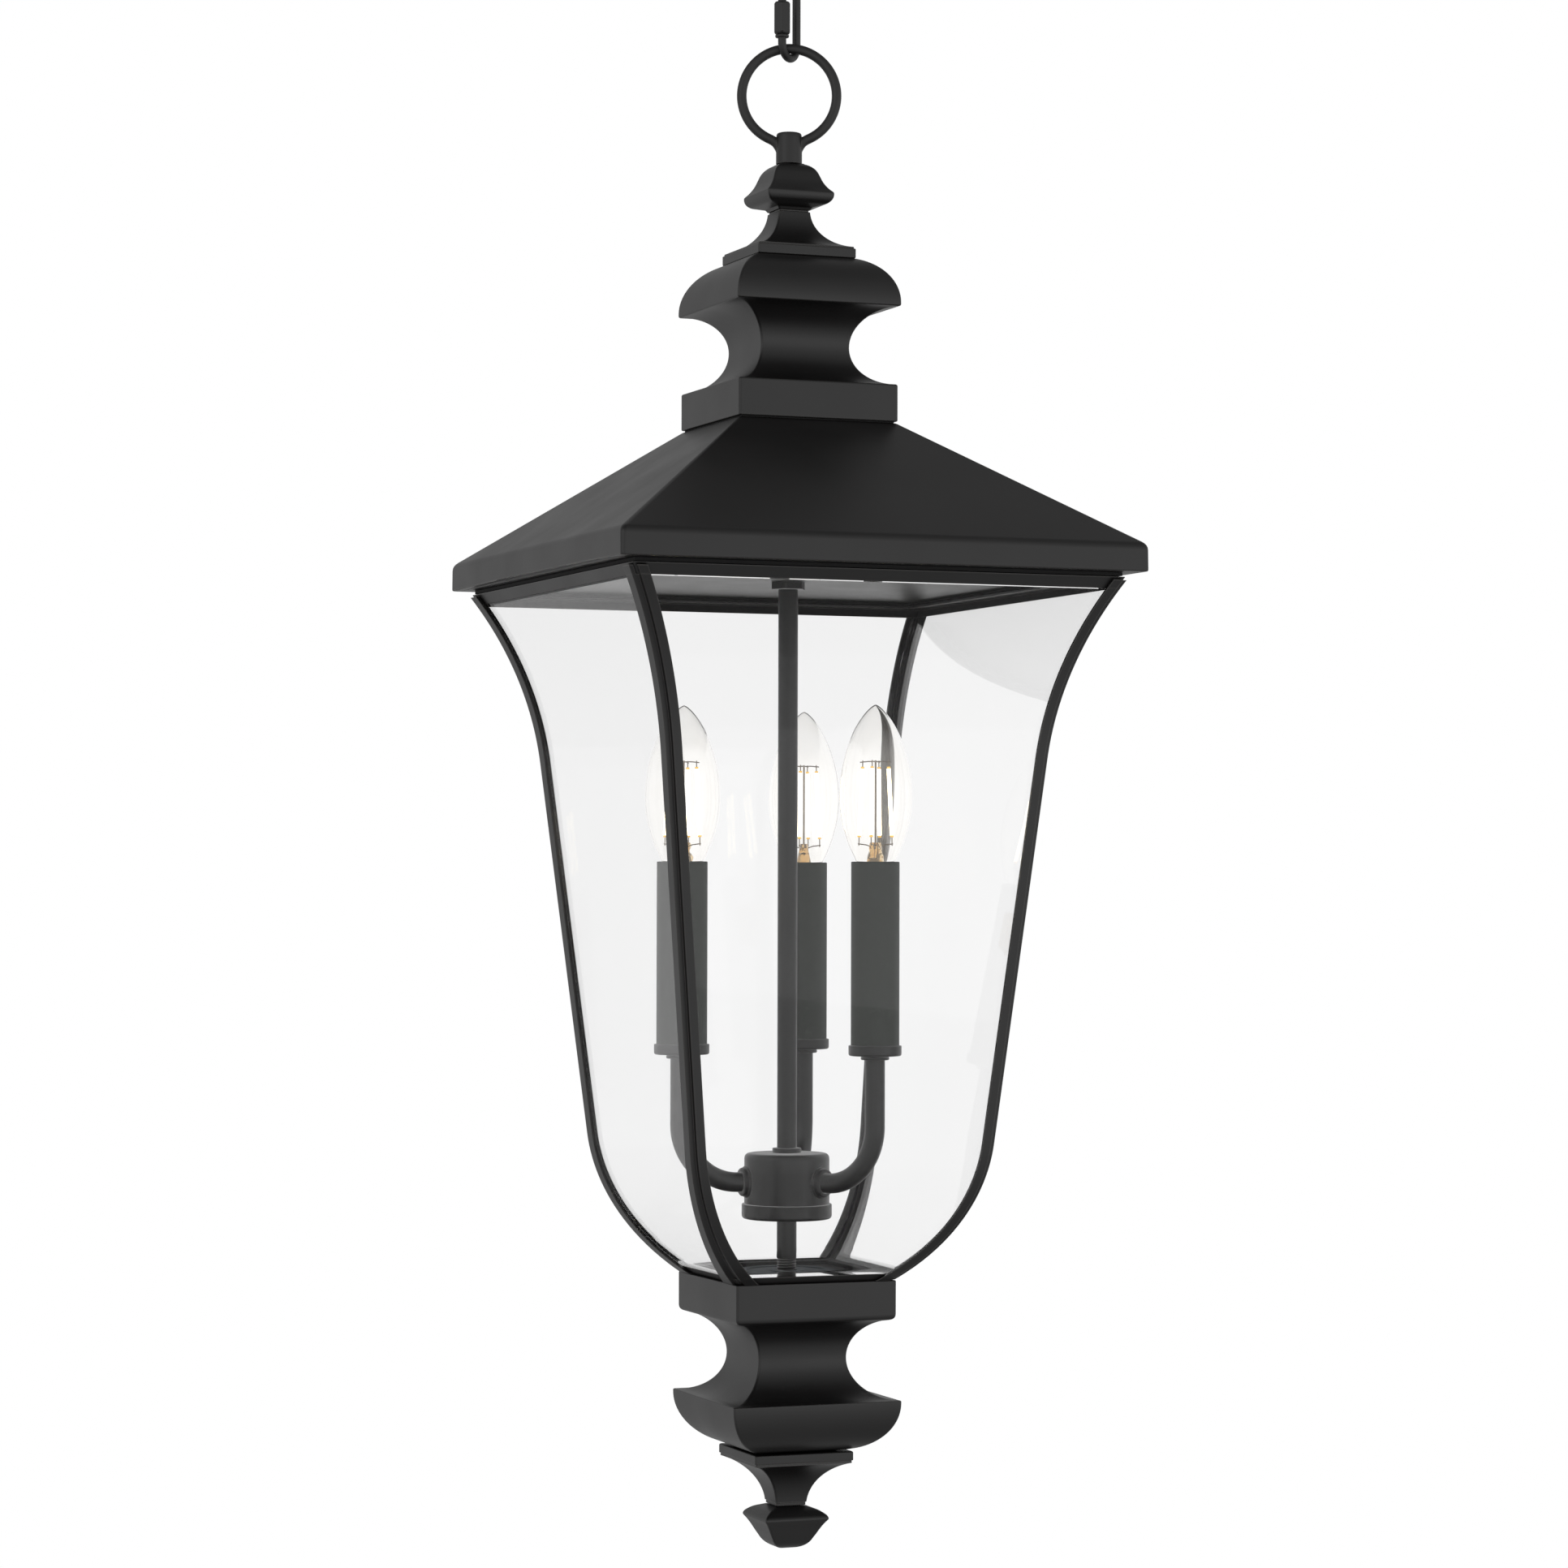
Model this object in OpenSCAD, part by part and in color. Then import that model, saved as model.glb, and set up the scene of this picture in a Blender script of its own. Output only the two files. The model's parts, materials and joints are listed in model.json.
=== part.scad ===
// Square hanging lantern with a hipped roof, four flared glass sides and a cluster of three candles.
// Millimetres, +Z up. Origin: the inner face of the quick link's top bend, on the lantern's axis.
// Broad faces look along X and Y. The front face looks along -Y.

/* [Overall] */
// Width of the lantern across the eaves
eave_w = 260; // [200:1:340]
// Height of the glazed cage
cage_h = 332; // [260:1:420]
// Rise of the roof slope
roof_rise = 62; // [45:1:85]
// Height of the straight fascia under the slope
fascia_h = 12.6; // [8:0.2:20]
// Width of the square blocks above the roof and below the cage
block_w = 81.2; // [60:0.2:110]

/* [Hanging parts] */
// Wire of the quick link
link_wire = 4; // [3:0.1:6]
// Clear length inside the quick link
link_in = 32.3; // [26:0.1:45]
// Distance between the link's two legs, centre to centre
link_pitch = 14; // [12:0.2:20]
// Turn of the quick link about the vertical
link_turn = 39; // [0:1:90]
// Outer diameter of the loop ring
ring_od = 50.6; // [40:0.2:62]
// Wire of the loop ring
ring_wire = 4.7; // [4:0.1:7]
// Turn of the loop ring about the vertical
ring_turn = -21.4; // [-90:0.1:90]
// Diameter of the loop's neck
neck_d = 12.6; // [12:0.1:18]

/* [Candles] */
// Distance of each candle from the axis
arm_r = 53.3; // [45:0.1:64]
// Tube of the arms
arm_d = 9.5; // [8:0.1:11]
// Bend radius of the arms
arm_bend = 28; // [18:0.5:32]
// Tube of the centre stem
stem_d = 9.5; // [8:0.1:11]
// Diameter of the candle sleeves
sleeve_d = 23; // [21:0.1:27]
// Length of the candle sleeves
sleeve_h = 87; // [72:1:105]
// Largest diameter of the lamps
bulb_d = 35; // [29:0.5:40]
// Diameter of the centre hub
hub_d = 41; // [38:0.5:50]

/* [Sheet and glass] */
// Thickness of the glass panels
glass_t = 2; // [1.6:0.1:3]
// Thickness of the corner bars' flanges
bar_t = 1.8; // [1.2:0.1:2.6]
// Roof sheet
roof_t = 1.2; // [0.8:0.1:2]
// Square notch along each corner
notch = 2.7; // [1.8:0.1:3.4]
// Corner bar's leg on the front and back faces
leg_front = 7; // [5.8:0.1:9]
// Corner bar's leg on the side faces
leg_side = 10.2; // [7:0.1:13]

/* [Hidden] */
// Seam between pieces that are fastened together
seam = 0.1;
// Air between pieces that move past each other
clear = 0.4;
// Height of the link's bottom bend above the ring's underside
link_gap = 0.35;

// Heights from the hang point downwards
z_ring = -link_in + link_gap + ring_wire - ring_od / 2;
z_neck_top = z_ring - ring_od / 2 + 7.4;
z_cap_top = z_ring - ring_od / 2 - 8.1;
z_cap_bot = z_cap_top - 23;
z_cove_top = z_cap_bot - 0.8;
plinth_t = 4.7;
z_plinth = z_cove_top - 19;
z_bell_top = z_plinth - plinth_t - seam;
bell_h = 24;
scotia_r = 18.8;
z_bell_rim = z_bell_top - bell_h;
z_block_top = z_bell_rim - 2 * scotia_r - 0.4;
block_h = 17.4;
z_block_bot = z_block_top - block_h;
seal_t = 0.6;
z_roof_top = z_block_bot - seal_t;
z_bend = z_roof_top - roof_rise;
z_eave = z_bend - fascia_h;
eave_gap = 2.1;
z_cage_top = z_eave - eave_gap;
z_cage_bot = z_cage_top - cage_h;
z_lblock_bot = z_cage_bot - seam - 18;
lscotia_r = 19.2;
z_lrim = z_lblock_bot - 2 * lscotia_r - 1;
lbell_h = 24.6;
z_lplinth = z_lrim - lbell_h;
z_lcove = z_lplinth - 4.4 - seam;
z_lcollar = z_lcove - 21;
z_lcap = z_lcollar - 2;
z_foot = z_lcap - 20.3;

// Half widths
eave = eave_w / 2;
blk = block_w / 2;
cage_top = eave - 6;
cage_bot = blk + 0.6;
plinth = blk - 15.5;
waist = blk - 17.9;

// Cage profile: a flare, a straight and a foot curve, tangent to each other
r1 = 200;
r2 = 99;
a1 = 31.7;
a2 = 50.3;
c1x = cage_top + r1 * cos(a1);
c1z = z_cage_top - r1 * sin(a1);
c2x = cage_bot - r2 * cos(a2);
c2z = z_cage_bot + r2 * sin(a2);
cdist = sqrt(pow(c1x - c2x, 2) + pow(c1z - c2z, 2));
lean = acos((r1 + r2) / cdist) - atan2(c1z - c2z, c1x - c2x);
nx = cos(lean);
nz = -sin(lean);

// Insets of the layers behind the cage's outer skin
glass_in = bar_t + seam;
glass_back = glass_in + glass_t;
web_in = notch + bar_t;
glass_edge = web_in + 0.4;
rail_h = 5.3;
tray_h = 3.4;

// Bores round the stem
stem_bore = stem_d - 3.3;
bore_fix = stem_d + 2 * seam;
bore_run = stem_d + 2 * clear;

// Candle cluster heights
z_arm = z_cage_bot + 45.5;
z_hub_top = z_arm + 13.5;
z_hub_seam = z_arm - 10.8;
z_hub_bot = z_hub_seam - 7.2;
z_cup = z_arm + 61.5;
cup_d = sleeve_d + 2.2;
z_sleeve = z_cup + 5;
z_mouth = z_sleeve + sleeve_h;
bulb_r = bulb_d / 2;
bulb_top = 43.8;
bulb_big = (bulb_top * bulb_top + (bulb_r - 1) * (bulb_r - 1)) / (2 * (bulb_r - 1));
bulb_neck = sleeve_d / 2 - 1.8;
bulb_low = sqrt(bulb_big * bulb_big - pow(bulb_big - bulb_r + bulb_neck, 2));
z_wide = z_mouth + bulb_low;
z_tip = z_wide + bulb_top;
z_press = z_wide - 21.4;
arm_turns = [180, 300, 60];

col_metal = "#3c3a3a";
col_steel = "#55534f";
col_brass = "#b08d4a";
col_sleeve = "#4a4d49";
col_black = "#1c1b1b";

// ---- helpers ----

// A flat profile pushed through along Y, and one pushed through along X
module along_y(len) translate([0, len / 2, 0]) rotate([90, 0, 0]) linear_extrude(len) children();
module along_x(len) translate([-len / 2, 0, 0]) rotate([90, 0, 90]) linear_extrude(len) children();

// A four-sided solid whose four faces all follow the same profile
module four_sided(len) {
  intersection() {
    along_y(len) children();
    along_x(len) children();
  }
}

// A round rod or hole on the axis
module rod(d, z0, z1) translate([0, 0, z0]) cylinder(h = z1 - z0, d = d, $fn = 96);

// A square slab on the axis
module slab(w, z0, z1) translate([-w, -w, z0]) cube([2 * w, 2 * w, z1 - z0]);

// Mirrors a profile about the upright axis
module both_sides() {
  children();
  mirror([1, 0]) children();
}

// Points along an arc from angle p to angle q
function arc(cx, cz, r, p, q, n) =
  [for (k = [0 : n]) [cx + r * cos(p + (q - p) * k / n), cz + r * sin(p + (q - p) * k / n)]];

// The cage's side edge from foot to flare, set in by i
function cage_edge(i) = concat(
  arc(c2x, c2z, r2 - i, -a2 - 12, -a2, 2),
  arc(c2x, c2z, r2 - i, -a2 + 4, -lean, 10),
  arc(c1x, c1z, -r1 - i, -lean, -a1, 14),
  arc(c1x, c1z, -r1 - i, -a1 - 3, -a1 - 4, 1)
);

// The cage's outline, set in by i, between two heights
module cage_profile(i, z0, z1) {
  e = cage_edge(i);
  n = len(e);
  intersection() {
    translate([-2 * cage_top, z0]) square([4 * cage_top, z1 - z0]);
    polygon(concat(e, [for (k = [0 : n - 1]) [-e[n - 1 - k][0], e[n - 1 - k][1]]]));
  }
}

// The cage's outline pushed through along Y or along X
module cage_y(i, z0, z1) along_y(4 * cage_top) cage_profile(i, z0, z1);
module cage_x(i, z0, z1) along_x(4 * cage_top) cage_profile(i, z0, z1);

// In the corner between +X and +Y: from xi to xj in from the X face, and yi to yj in from the Y face
module cage_cell(xi, xj, yi, yj, z0, z1) {
  difference() {
    intersection() {
      cage_y(xi, z0, z1);
      cage_x(yi, z0, z1);
      translate([5, 5, z0 - 1]) cube([cage_top + 20, cage_top + 20, z1 - z0 + 2]);
    }
    cage_y(xj, z0 - 1, z1 + 1);
    cage_x(yj, z0 - 1, z1 + 1);
  }
}

// ---- hanging parts ----

module quick_link() color(col_steel) rotate([0, 0, link_turn]) {
  bend = link_pitch / 2;
  zt = link_wire / 2 - bend;
  zb = -link_in - link_wire / 2 + bend;
  for (s = [0, 1])
    translate([0, 0, s == 0 ? zt : zb]) rotate([90, 0, 0]) mirror([0, s, 0])
      rotate_extrude(angle = 180, $fn = 96) translate([bend, 0]) circle(d = link_wire, $fn = 48);
  translate([bend, 0, zb]) cylinder(h = zt - zb, d = link_wire, $fn = 48);
  // The nut's leg is parted behind the nut, with a shoulder under it
  translate([-bend, 0, zb]) cylinder(h = (zt - zb) / 2 - 3, d = link_wire, $fn = 48);
  translate([-bend, 0, (zt + zb) / 2 + 3]) cylinder(h = (zt - zb) / 2 - 3, d = link_wire, $fn = 48);
  translate([-bend, 0, (zt + zb) / 2 - 9.3]) cylinder(h = 1.4, d = link_wire + 2.7, $fn = 48);
}

module link_nut() color(col_steel) rotate([0, 0, link_turn])
  translate([-link_pitch / 2, 0, -link_in / 2 - 7.6]) {
    difference() {
      intersection() {
        cylinder(h = 15.6, d = link_wire + 4.8, $fn = 6);
        union() {
          cylinder(h = 0.8, d1 = link_wire + 3.4, d2 = link_wire + 4.8, $fn = 48);
          translate([0, 0, 0.8]) cylinder(h = 14, d = link_wire + 4.8, $fn = 48);
          translate([0, 0, 14.8]) cylinder(h = 0.8, d1 = link_wire + 4.8, d2 = link_wire + 3.4, $fn = 48);
        }
      }
      translate([0, 0, -1]) cylinder(h = 18, d = link_wire + 0.16, $fn = 48);
    }
  }

module loop() color(col_metal) difference() {
  union() {
    rotate([0, 0, ring_turn]) translate([0, 0, z_ring]) rotate([90, 0, 0])
      rotate_extrude($fn = 128) translate([(ring_od - ring_wire) / 2, 0]) circle(d = ring_wire, $fn = 48);
    rod(neck_d, z_cap_top + seam, z_neck_top - 1);
    translate([0, 0, z_neck_top - 1]) cylinder(h = 1, d1 = neck_d, d2 = neck_d - 2.4, $fn = 96);
  }
  rod(bore_fix, z_cap_top - 1, z_cap_top + 8);
  rod(stem_bore, z_cap_top + 7, z_neck_top + 1);
}

// A half profile and its mirror image about the upright axis
module two_sided(p) polygon(concat(p, [for (k = [len(p) - 1 : -1 : 0]) [-p[k][0], p[k][1]]]));

module top_cap() color(col_metal) difference() {
  four_sided(60) two_sided(concat(
    [[5.6, z_cap_top]],
    arc(3.2, z_cap_top - 8.6, 8.7, 70, 22, 8),
    arc(27.4, z_cap_top - 2.7, 16, 202, 227, 6),
    [[17.1, z_cap_top - 15.1]],
    arc(12.4, z_cap_top - 15.9, 4.7, 0, -80, 8),
    [[9, z_cap_top - 21.6], [8.2, z_cap_bot + seam]]
  ));
  rod(bore_fix, z_cap_bot - 1, z_cap_top + 1);
}

module top_collar() color(col_metal) difference() {
  slab(7.5, z_cove_top + seam, z_cap_bot);
  rod(bore_fix, z_cove_top - 1, z_cap_bot + 1);
}

module top_cove() color(col_metal) difference() {
  four_sided(4 * plinth) union() {
    difference() {
      translate([-plinth + 0.6, z_plinth - 0.1]) square([2 * plinth - 1.2, z_cove_top - z_plinth + 0.1]);
      both_sides() translate([plinth + 2.7, z_cove_top + 1.3]) circle(r = 19.7, $fn = 128);
      both_sides() translate([8.1, z_cove_top - 0.5]) square([plinth, 5]);
    }
    translate([-plinth, z_plinth - plinth_t]) square([2 * plinth, plinth_t]);
  }
  rod(bore_fix, z_plinth - plinth_t - 1, z_cove_top + 1);
  slab(12, z_plinth - plinth_t - 1, z_plinth + 1.5);
}

module top_bell() color(col_metal) difference() {
  four_sided(4 * blk) difference() {
    union() {
      both_sides() intersection() {
        translate([blk - 22, z_bell_rim + 1.7]) circle(r = 23.2, $fn = 128);
        translate([-5, z_bell_rim + 1.6]) square([blk + 8, bell_h - 1.7]);
      }
      translate([22 - blk, z_bell_rim]) square([2 * blk - 44, bell_h - 0.1]);
      translate([-blk - 1.2, z_bell_rim]) square([2 * blk + 2.4, 1.7]);
      translate([-blk, z_block_bot]) square([2 * blk, z_bell_rim - z_block_bot + 0.1]);
    }
    both_sides() translate([blk + 0.9, z_bell_rim - scotia_r]) circle(r = scotia_r, $fn = 128);
  }
  rod(bore_fix, z_block_bot - 1, z_bell_top + 1);
  slab(waist - 3.5, z_block_bot - 1, z_bell_top - 5);
}

module roof_seal() color(col_black) difference() {
  slab(blk - 1.6, z_roof_top + 0.05, z_block_bot - 0.05);
  rod(bore_fix, z_roof_top - 1, z_block_bot + 1);
}

// ---- roof ----

module roof_outline(i) {
  polygon([
    [-eave + i, z_eave - 1], [-eave + i, z_bend - 0.31 * i], [-blk + 0.9 + 0.31 * i, z_roof_top - i],
    [blk - 0.9 - 0.31 * i, z_roof_top - i], [eave - i, z_bend - 0.31 * i], [eave - i, z_eave - 1]
  ]);
}

module roof() color(col_metal) difference() {
  union() {
    difference() {
      four_sided(2 * eave_w) intersection() {
        roof_outline(0);
        translate([-eave, z_eave]) square([eave_w, 200]);
      }
      four_sided(2 * eave_w) roof_outline(roof_t);
    }
    // Soffit lip under the eave
    difference() {
      slab(eave - 0.5, z_eave, z_eave + roof_t);
      slab(cage_top - 6, z_eave - 1, z_eave + roof_t + 1);
    }
  }
  rod(bore_fix, z_roof_top - 5, z_roof_top + 1);
  // Shallow relief along the left eave
  translate([-eave - 1, -0.21 * eave_w, z_eave - 1]) cube([5, 0.42 * eave_w, 1.9]);
}

module eave_gasket() color(col_black) difference() {
  slab(cage_top - 3.5, z_cage_top + clear, z_eave - seam);
  slab(cage_top - 10, z_cage_top - 1, z_eave + 1);
}

module ceiling_plate() color(col_metal) difference() {
  slab(cage_top - 6.5, z_eave + seam, z_eave + seam + 1.2);
  rod(bore_fix, z_eave - 1, z_eave + 3);
}

module ceiling_nuts() color(col_brass) for (z = [z_eave + seam + 1.3, z_eave - 3.4, z_roof_top - roof_t - 3.6])
  difference() {
    translate([0, 0, z]) cylinder(h = 3.4, d = stem_d + 7.6, $fn = 6);
    rod(bore_fix, z - 1, z + 5);
  }

module upper_stem() color(col_metal) difference() {
  rod(stem_d, z_hub_top - 6, z_cap_top + 7.5);
  rod(stem_bore, z_hub_top - 7, z_cap_top + 9);
}

// ---- cage ----

// A bar is two flanges on the skin joined by a stepped web along the notch
module bar() {
  cage_cell(notch, leg_front, 0, bar_t, z_cage_bot + seam, z_cage_top - 1.5);
  cage_cell(0, bar_t, notch, leg_side, z_cage_bot + seam, z_cage_top - 1.5);
  cage_cell(notch, web_in, 0, web_in, z_cage_bot + tray_h + seam, z_cage_top - rail_h - seam);
  cage_cell(0, web_in, notch, web_in, z_cage_bot + tray_h + seam, z_cage_top - rail_h - seam);
}

// The pane on the +Y side
module glass_pane() {
  z0 = z_cage_bot + tray_h + 0.2;
  z1 = z_cage_top - rail_h - seam;
  difference() {
    intersection() {
      cage_y(glass_edge, z0, z1);
      cage_x(glass_in, z0, z1);
      translate([-cage_top, 5, z0 - 1]) cube([2 * cage_top, cage_top + 20, z1 - z0 + 2]);
    }
    cage_x(glass_back, z0 - 1, z1 + 1);
  }
}

module top_rail() color(col_metal) difference() {
  four_sided(3 * cage_top) cage_profile(glass_in, z_cage_top - rail_h, z_cage_top);
  four_sided(3 * cage_top) cage_profile(glass_in + 1.2, z_cage_top - rail_h - 1, z_cage_top - 1.2);
  slab(cage_top - 14, z_cage_top - 3, z_cage_top + 1);
}

module base_tray() color(col_metal) difference() {
  four_sided(3 * blk) cage_profile(glass_in, z_cage_bot + seam, z_cage_bot + tray_h);
  slab(cage_bot - 6, z_cage_bot + 1.5, z_cage_bot + tray_h + 1);
  rod(bore_run, z_cage_bot - 1, z_cage_bot + 5);
}

module base_disc() color(col_steel) difference() {
  rod(46, z_cage_bot + 1.6, z_cage_bot + 3.1);
  rod(bore_run, z_cage_bot, z_cage_bot + 5);
}

module lower_bell() color(col_metal) difference() {
  four_sided(4 * blk) difference() {
    union() {
      both_sides() intersection() {
        translate([blk - 21.6, z_lrim - 0.6]) circle(r = 23.6, $fn = 128);
        translate([-5, z_lplinth]) square([blk + 8, lbell_h - 0.5]);
      }
      translate([21.6 - blk, z_lplinth]) square([2 * blk - 43.2, lbell_h]);
      translate([-blk - 2, z_lrim - 0.6]) square([2 * blk + 4, 1.2]);
      translate([-blk, z_lrim + 0.5]) square([2 * blk, z_cage_bot - z_lrim - 0.5]);
    }
    both_sides() translate([blk + 1, z_lblock_bot - lscotia_r - 0.4]) circle(r = lscotia_r, $fn = 128);
  }
  rod(bore_run, z_lplinth - 1, z_cage_bot + 1);
  slab(waist - 3.5, z_lplinth + 5, z_cage_bot - 5);
}

module lower_cove() color(col_metal) difference() {
  four_sided(4 * plinth) union() {
    difference() {
      translate([-plinth + 0.6, z_lcollar]) square([2 * plinth - 1.2, z_lcove - z_lcollar + 0.1]);
      both_sides() translate([plinth + 5.9, z_lcollar - 2.5]) circle(r = 23.2, $fn = 128);
      both_sides() translate([7.8, z_lcollar - 4]) square([plinth, 4.2]);
    }
    translate([-plinth, z_lcove]) square([2 * plinth, z_lplinth - z_lcove - seam]);
  }
  rod(bore_run, z_lcollar - 1, z_lplinth + 1);
}

module lower_collar() color(col_metal) difference() {
  slab(7.5, z_lcap + clear, z_lcollar - seam);
  rod(bore_run, z_lcap - 1, z_lcollar + 1);
}

module bottom_cap() color(col_metal) difference() {
  four_sided(60) two_sided(concat(
    [
      [7.6, z_lcap], [12.4, z_lcap - 1.5], [15.4, z_lcap - 3.6], [16.2, z_lcap - 4.9],
      [16.2, z_lcap - 5.8], [14.6, z_lcap - 7.8], [13, z_lcap - 10.4], [11.7, z_lcap - 12.9]
    ],
    arc(2.4, z_foot + 8.7, 8.7, -25, -90, 8)
  ));
  rod(bore_run, z_foot + 4, z_lcap + 1);
}

// ---- candle cluster ----

module lower_stem() color(col_metal) difference() {
  rod(stem_d, z_foot + 5.5, z_hub_seam + 4);
  rod(stem_bore, z_foot + 5, z_hub_seam + 5);
}

module hub_body() color(col_metal) difference() {
  union() {
    rod(hub_d, z_hub_seam, z_hub_top - 3);
    rod(hub_d - 6, z_hub_top - 4, z_hub_top);
    translate([0, 0, z_hub_top - 3]) rotate_extrude($fn = 128)
      translate([hub_d / 2 - 3, 0]) intersection() {
        circle(r = 3, $fn = 64);
        square([4, 4]);
      }
  }
  rod(hub_d - 5, z_hub_seam - 1, z_hub_top - 3);
  rod(bore_fix, z_hub_top - 5, z_hub_top + 1);
  for (a = arm_turns) rotate([0, 0, a]) translate([hub_d / 2 - 6, 0, z_arm]) rotate([0, 90, 0])
    cylinder(h = 10, d = arm_d + 2 * seam, $fn = 64);
}

module hub_cover() color(col_metal) difference() {
  union() {
    rod(hub_d + 2.4, z_hub_bot + 2, z_hub_seam - seam);
    rod(hub_d - 1.6, z_hub_bot, z_hub_bot + 3);
    translate([0, 0, z_hub_bot + 2]) rotate_extrude($fn = 128)
      translate([hub_d / 2 - 0.8, 0]) intersection() {
        circle(r = 2, $fn = 64);
        translate([0, -3]) square([3, 3]);
      }
  }
  rod(hub_d - 5, z_hub_bot + 2, z_hub_seam + 1);
  rod(bore_fix, z_hub_bot - 1, z_hub_bot + 3);
}

module hub_washers() color(col_metal) for (z = [z_hub_top + seam, z_hub_bot - 1.1]) difference() {
  rod(14, z, z + (z > z_arm ? 2.3 : 1));
  rod(bore_fix, z - 1, z + 4);
}

// Stepped collars where the arms leave the hub
module arm_collars() color(col_metal) for (a = arm_turns) rotate([0, 0, a])
  translate([0, 0, z_arm]) rotate([0, 90, 0]) difference() {
    rotate_extrude($fn = 96) intersection() {
      union() {
        translate([0, hub_d / 2 - 1.5]) square([arm_d / 2 + 2.6, 2.6]);
        translate([arm_d / 2, hub_d / 2 + 0.6]) circle(r = 2.6, $fn = 48);
        translate([0, hub_d / 2 + 1]) square([arm_d / 2 + 1, 2.4]);
      }
      translate([arm_d / 2 + seam, hub_d / 2 - 1.5]) square([6, 6]);
    }
    rotate([0, -90, 0]) translate([0, 0, -12]) cylinder(h = 24, d = hub_d + 2 * seam, $fn = 128);
  }

module arm(a) color(col_metal) rotate([0, 0, a]) translate([0, 0, z_arm]) difference() {
  union() {
    translate([hub_d / 2 - 4, 0, 0]) rotate([0, 90, 0])
      cylinder(h = arm_r - arm_bend - hub_d / 2 + 4, d = arm_d, $fn = 64);
    translate([arm_r - arm_bend, 0, arm_bend]) rotate([90, 0, 0]) rotate([0, 0, -90])
      rotate_extrude(angle = 90, $fn = 128) translate([arm_bend, 0]) circle(d = arm_d, $fn = 64);
    translate([arm_r, 0, arm_bend]) cylinder(h = 61.5 - arm_bend + 1.5, d = arm_d, $fn = 64);
  }
  translate([hub_d / 2 - 5, 0, 0]) rotate([0, 90, 0])
    cylinder(h = arm_r - arm_bend - hub_d / 2 + 5, d = arm_d - 2.4, $fn = 64);
  translate([arm_r - arm_bend, 0, arm_bend]) rotate([90, 0, 0]) rotate([0, 0, -90])
    rotate_extrude(angle = 90, $fn = 128) translate([arm_bend, 0]) circle(d = arm_d - 2.4, $fn = 64);
  translate([arm_r, 0, arm_bend]) cylinder(h = 70, d = arm_d - 2.4, $fn = 64);
}

module at_candle(a) rotate([0, 0, a]) translate([arm_r, 0, 0]) children();

// A shallow dish that the sleeve stands in
module cup(a) color(col_metal) at_candle(a) difference() {
  union() {
    rod(cup_d, z_cup + 1.2, z_cup + 5);
    rod(cup_d - 2.4, z_cup, z_cup + 2);
    translate([0, 0, z_cup + 1.2]) rotate_extrude($fn = 96) translate([cup_d / 2 - 1.2, 0])
      intersection() {
        circle(r = 1.2, $fn = 48);
        translate([0, -2]) square([2, 2]);
      }
  }
  rod(sleeve_d + 2 * seam, z_cup + 2.5, z_cup + 6);
  rod(arm_d + 2 * seam, z_cup - 1, z_cup + 3);
}

module cup_washers() color(col_metal) for (a = arm_turns) at_candle(a) difference() {
  union() {
    rod(13.7, z_cup - 1.4 - seam, z_cup - 0.4 - seam);
    rod(12.7, z_cup - 1.9, z_cup - seam);
  }
  rod(arm_d + 2 * seam, z_cup - 4, z_cup + 1);
}

// Lampholder: a plastic body with a metal screw shell drawn as one bore
module socket(a) color(col_black) at_candle(a) difference() {
  union() {
    rod(sleeve_d - 5, z_mouth - 55, z_mouth - 14.6);
    rod(12, z_cup + 2.6, z_mouth - 54);
  }
  rod(12.6, z_mouth - 37, z_mouth - 13);
  rod(6, z_cup + 1, z_mouth - 50);
}

module sleeve(a) color(col_sleeve) at_candle(a) difference() {
  rod(sleeve_d, z_sleeve - 2.4, z_mouth);
  rod(sleeve_d - 2.2, z_sleeve - 4, z_mouth + 1);
}

// ---- lamps ----

// Lamp envelope, set in by i
module bulb_solid(i) {
  rotate_extrude($fn = 128) intersection() {
    translate([bulb_r - bulb_big, z_wide]) circle(r = bulb_big - i, $fn = 240);
    translate([0, z_mouth]) square([bulb_r + 5, z_tip - z_mouth - 1.8 - i]);
  }
  translate([0, 0, z_tip - 2.4]) sphere(r = 2 - i, $fn = 48);
  translate([0, 0, z_mouth - 14 - i]) cylinder(h = 14.01 + i, r1 = 6.6 - i, r2 = bulb_neck - i, $fn = 96);
}

module bulb_glass(a) color("#e8e6e0", 0.35) at_candle(a) difference() {
  bulb_solid(0);
  bulb_solid(0.8);
}

module bulb_base(a) color(col_brass) at_candle(a) {
  rod(11.8, z_mouth - 32, z_mouth - 15);
  rod(12, z_mouth - 15, z_mouth - 14.05);
  translate([0, 0, z_mouth - 34]) cylinder(h = 2.1, d1 = 5, d2 = 10, $fn = 64);
  rod(4.4, z_mouth - 35, z_mouth - 33.9);
}

// Glass pinch and its flare inside the lamp
module bulb_mount(a) color("#b9772f", 0.6) at_candle(a) {
  translate([0, 0, z_mouth - 12]) cylinder(h = 9, d1 = 10, d2 = 6.6, $fn = 64);
  rod(6.6, z_mouth - 3.2, z_press - 2.8);
  translate([-3.3, -1.2, z_press - 3]) cube([6.6, 2.4, 3]);
}

// Four light bars held between two cross wires on a centre wire
module filaments(a) color("#f0c25a") at_candle(a) {
  for (k = [0 : 3]) rotate([0, 0, 45 + 90 * k]) {
    translate([8, 0, z_wide - 17.7]) rotate([0, -2, 0]) cylinder(h = 31, d = 1.8, $fn = 24);
    translate([0, -0.3, z_wide - 18.2]) cube([8.4, 0.6, 0.6]);
    translate([0, -0.3, z_wide + 13.2]) cube([7.3, 0.6, 0.6]);
  }
  rod(0.9, z_press + seam, z_wide + 13.8);
}

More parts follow.
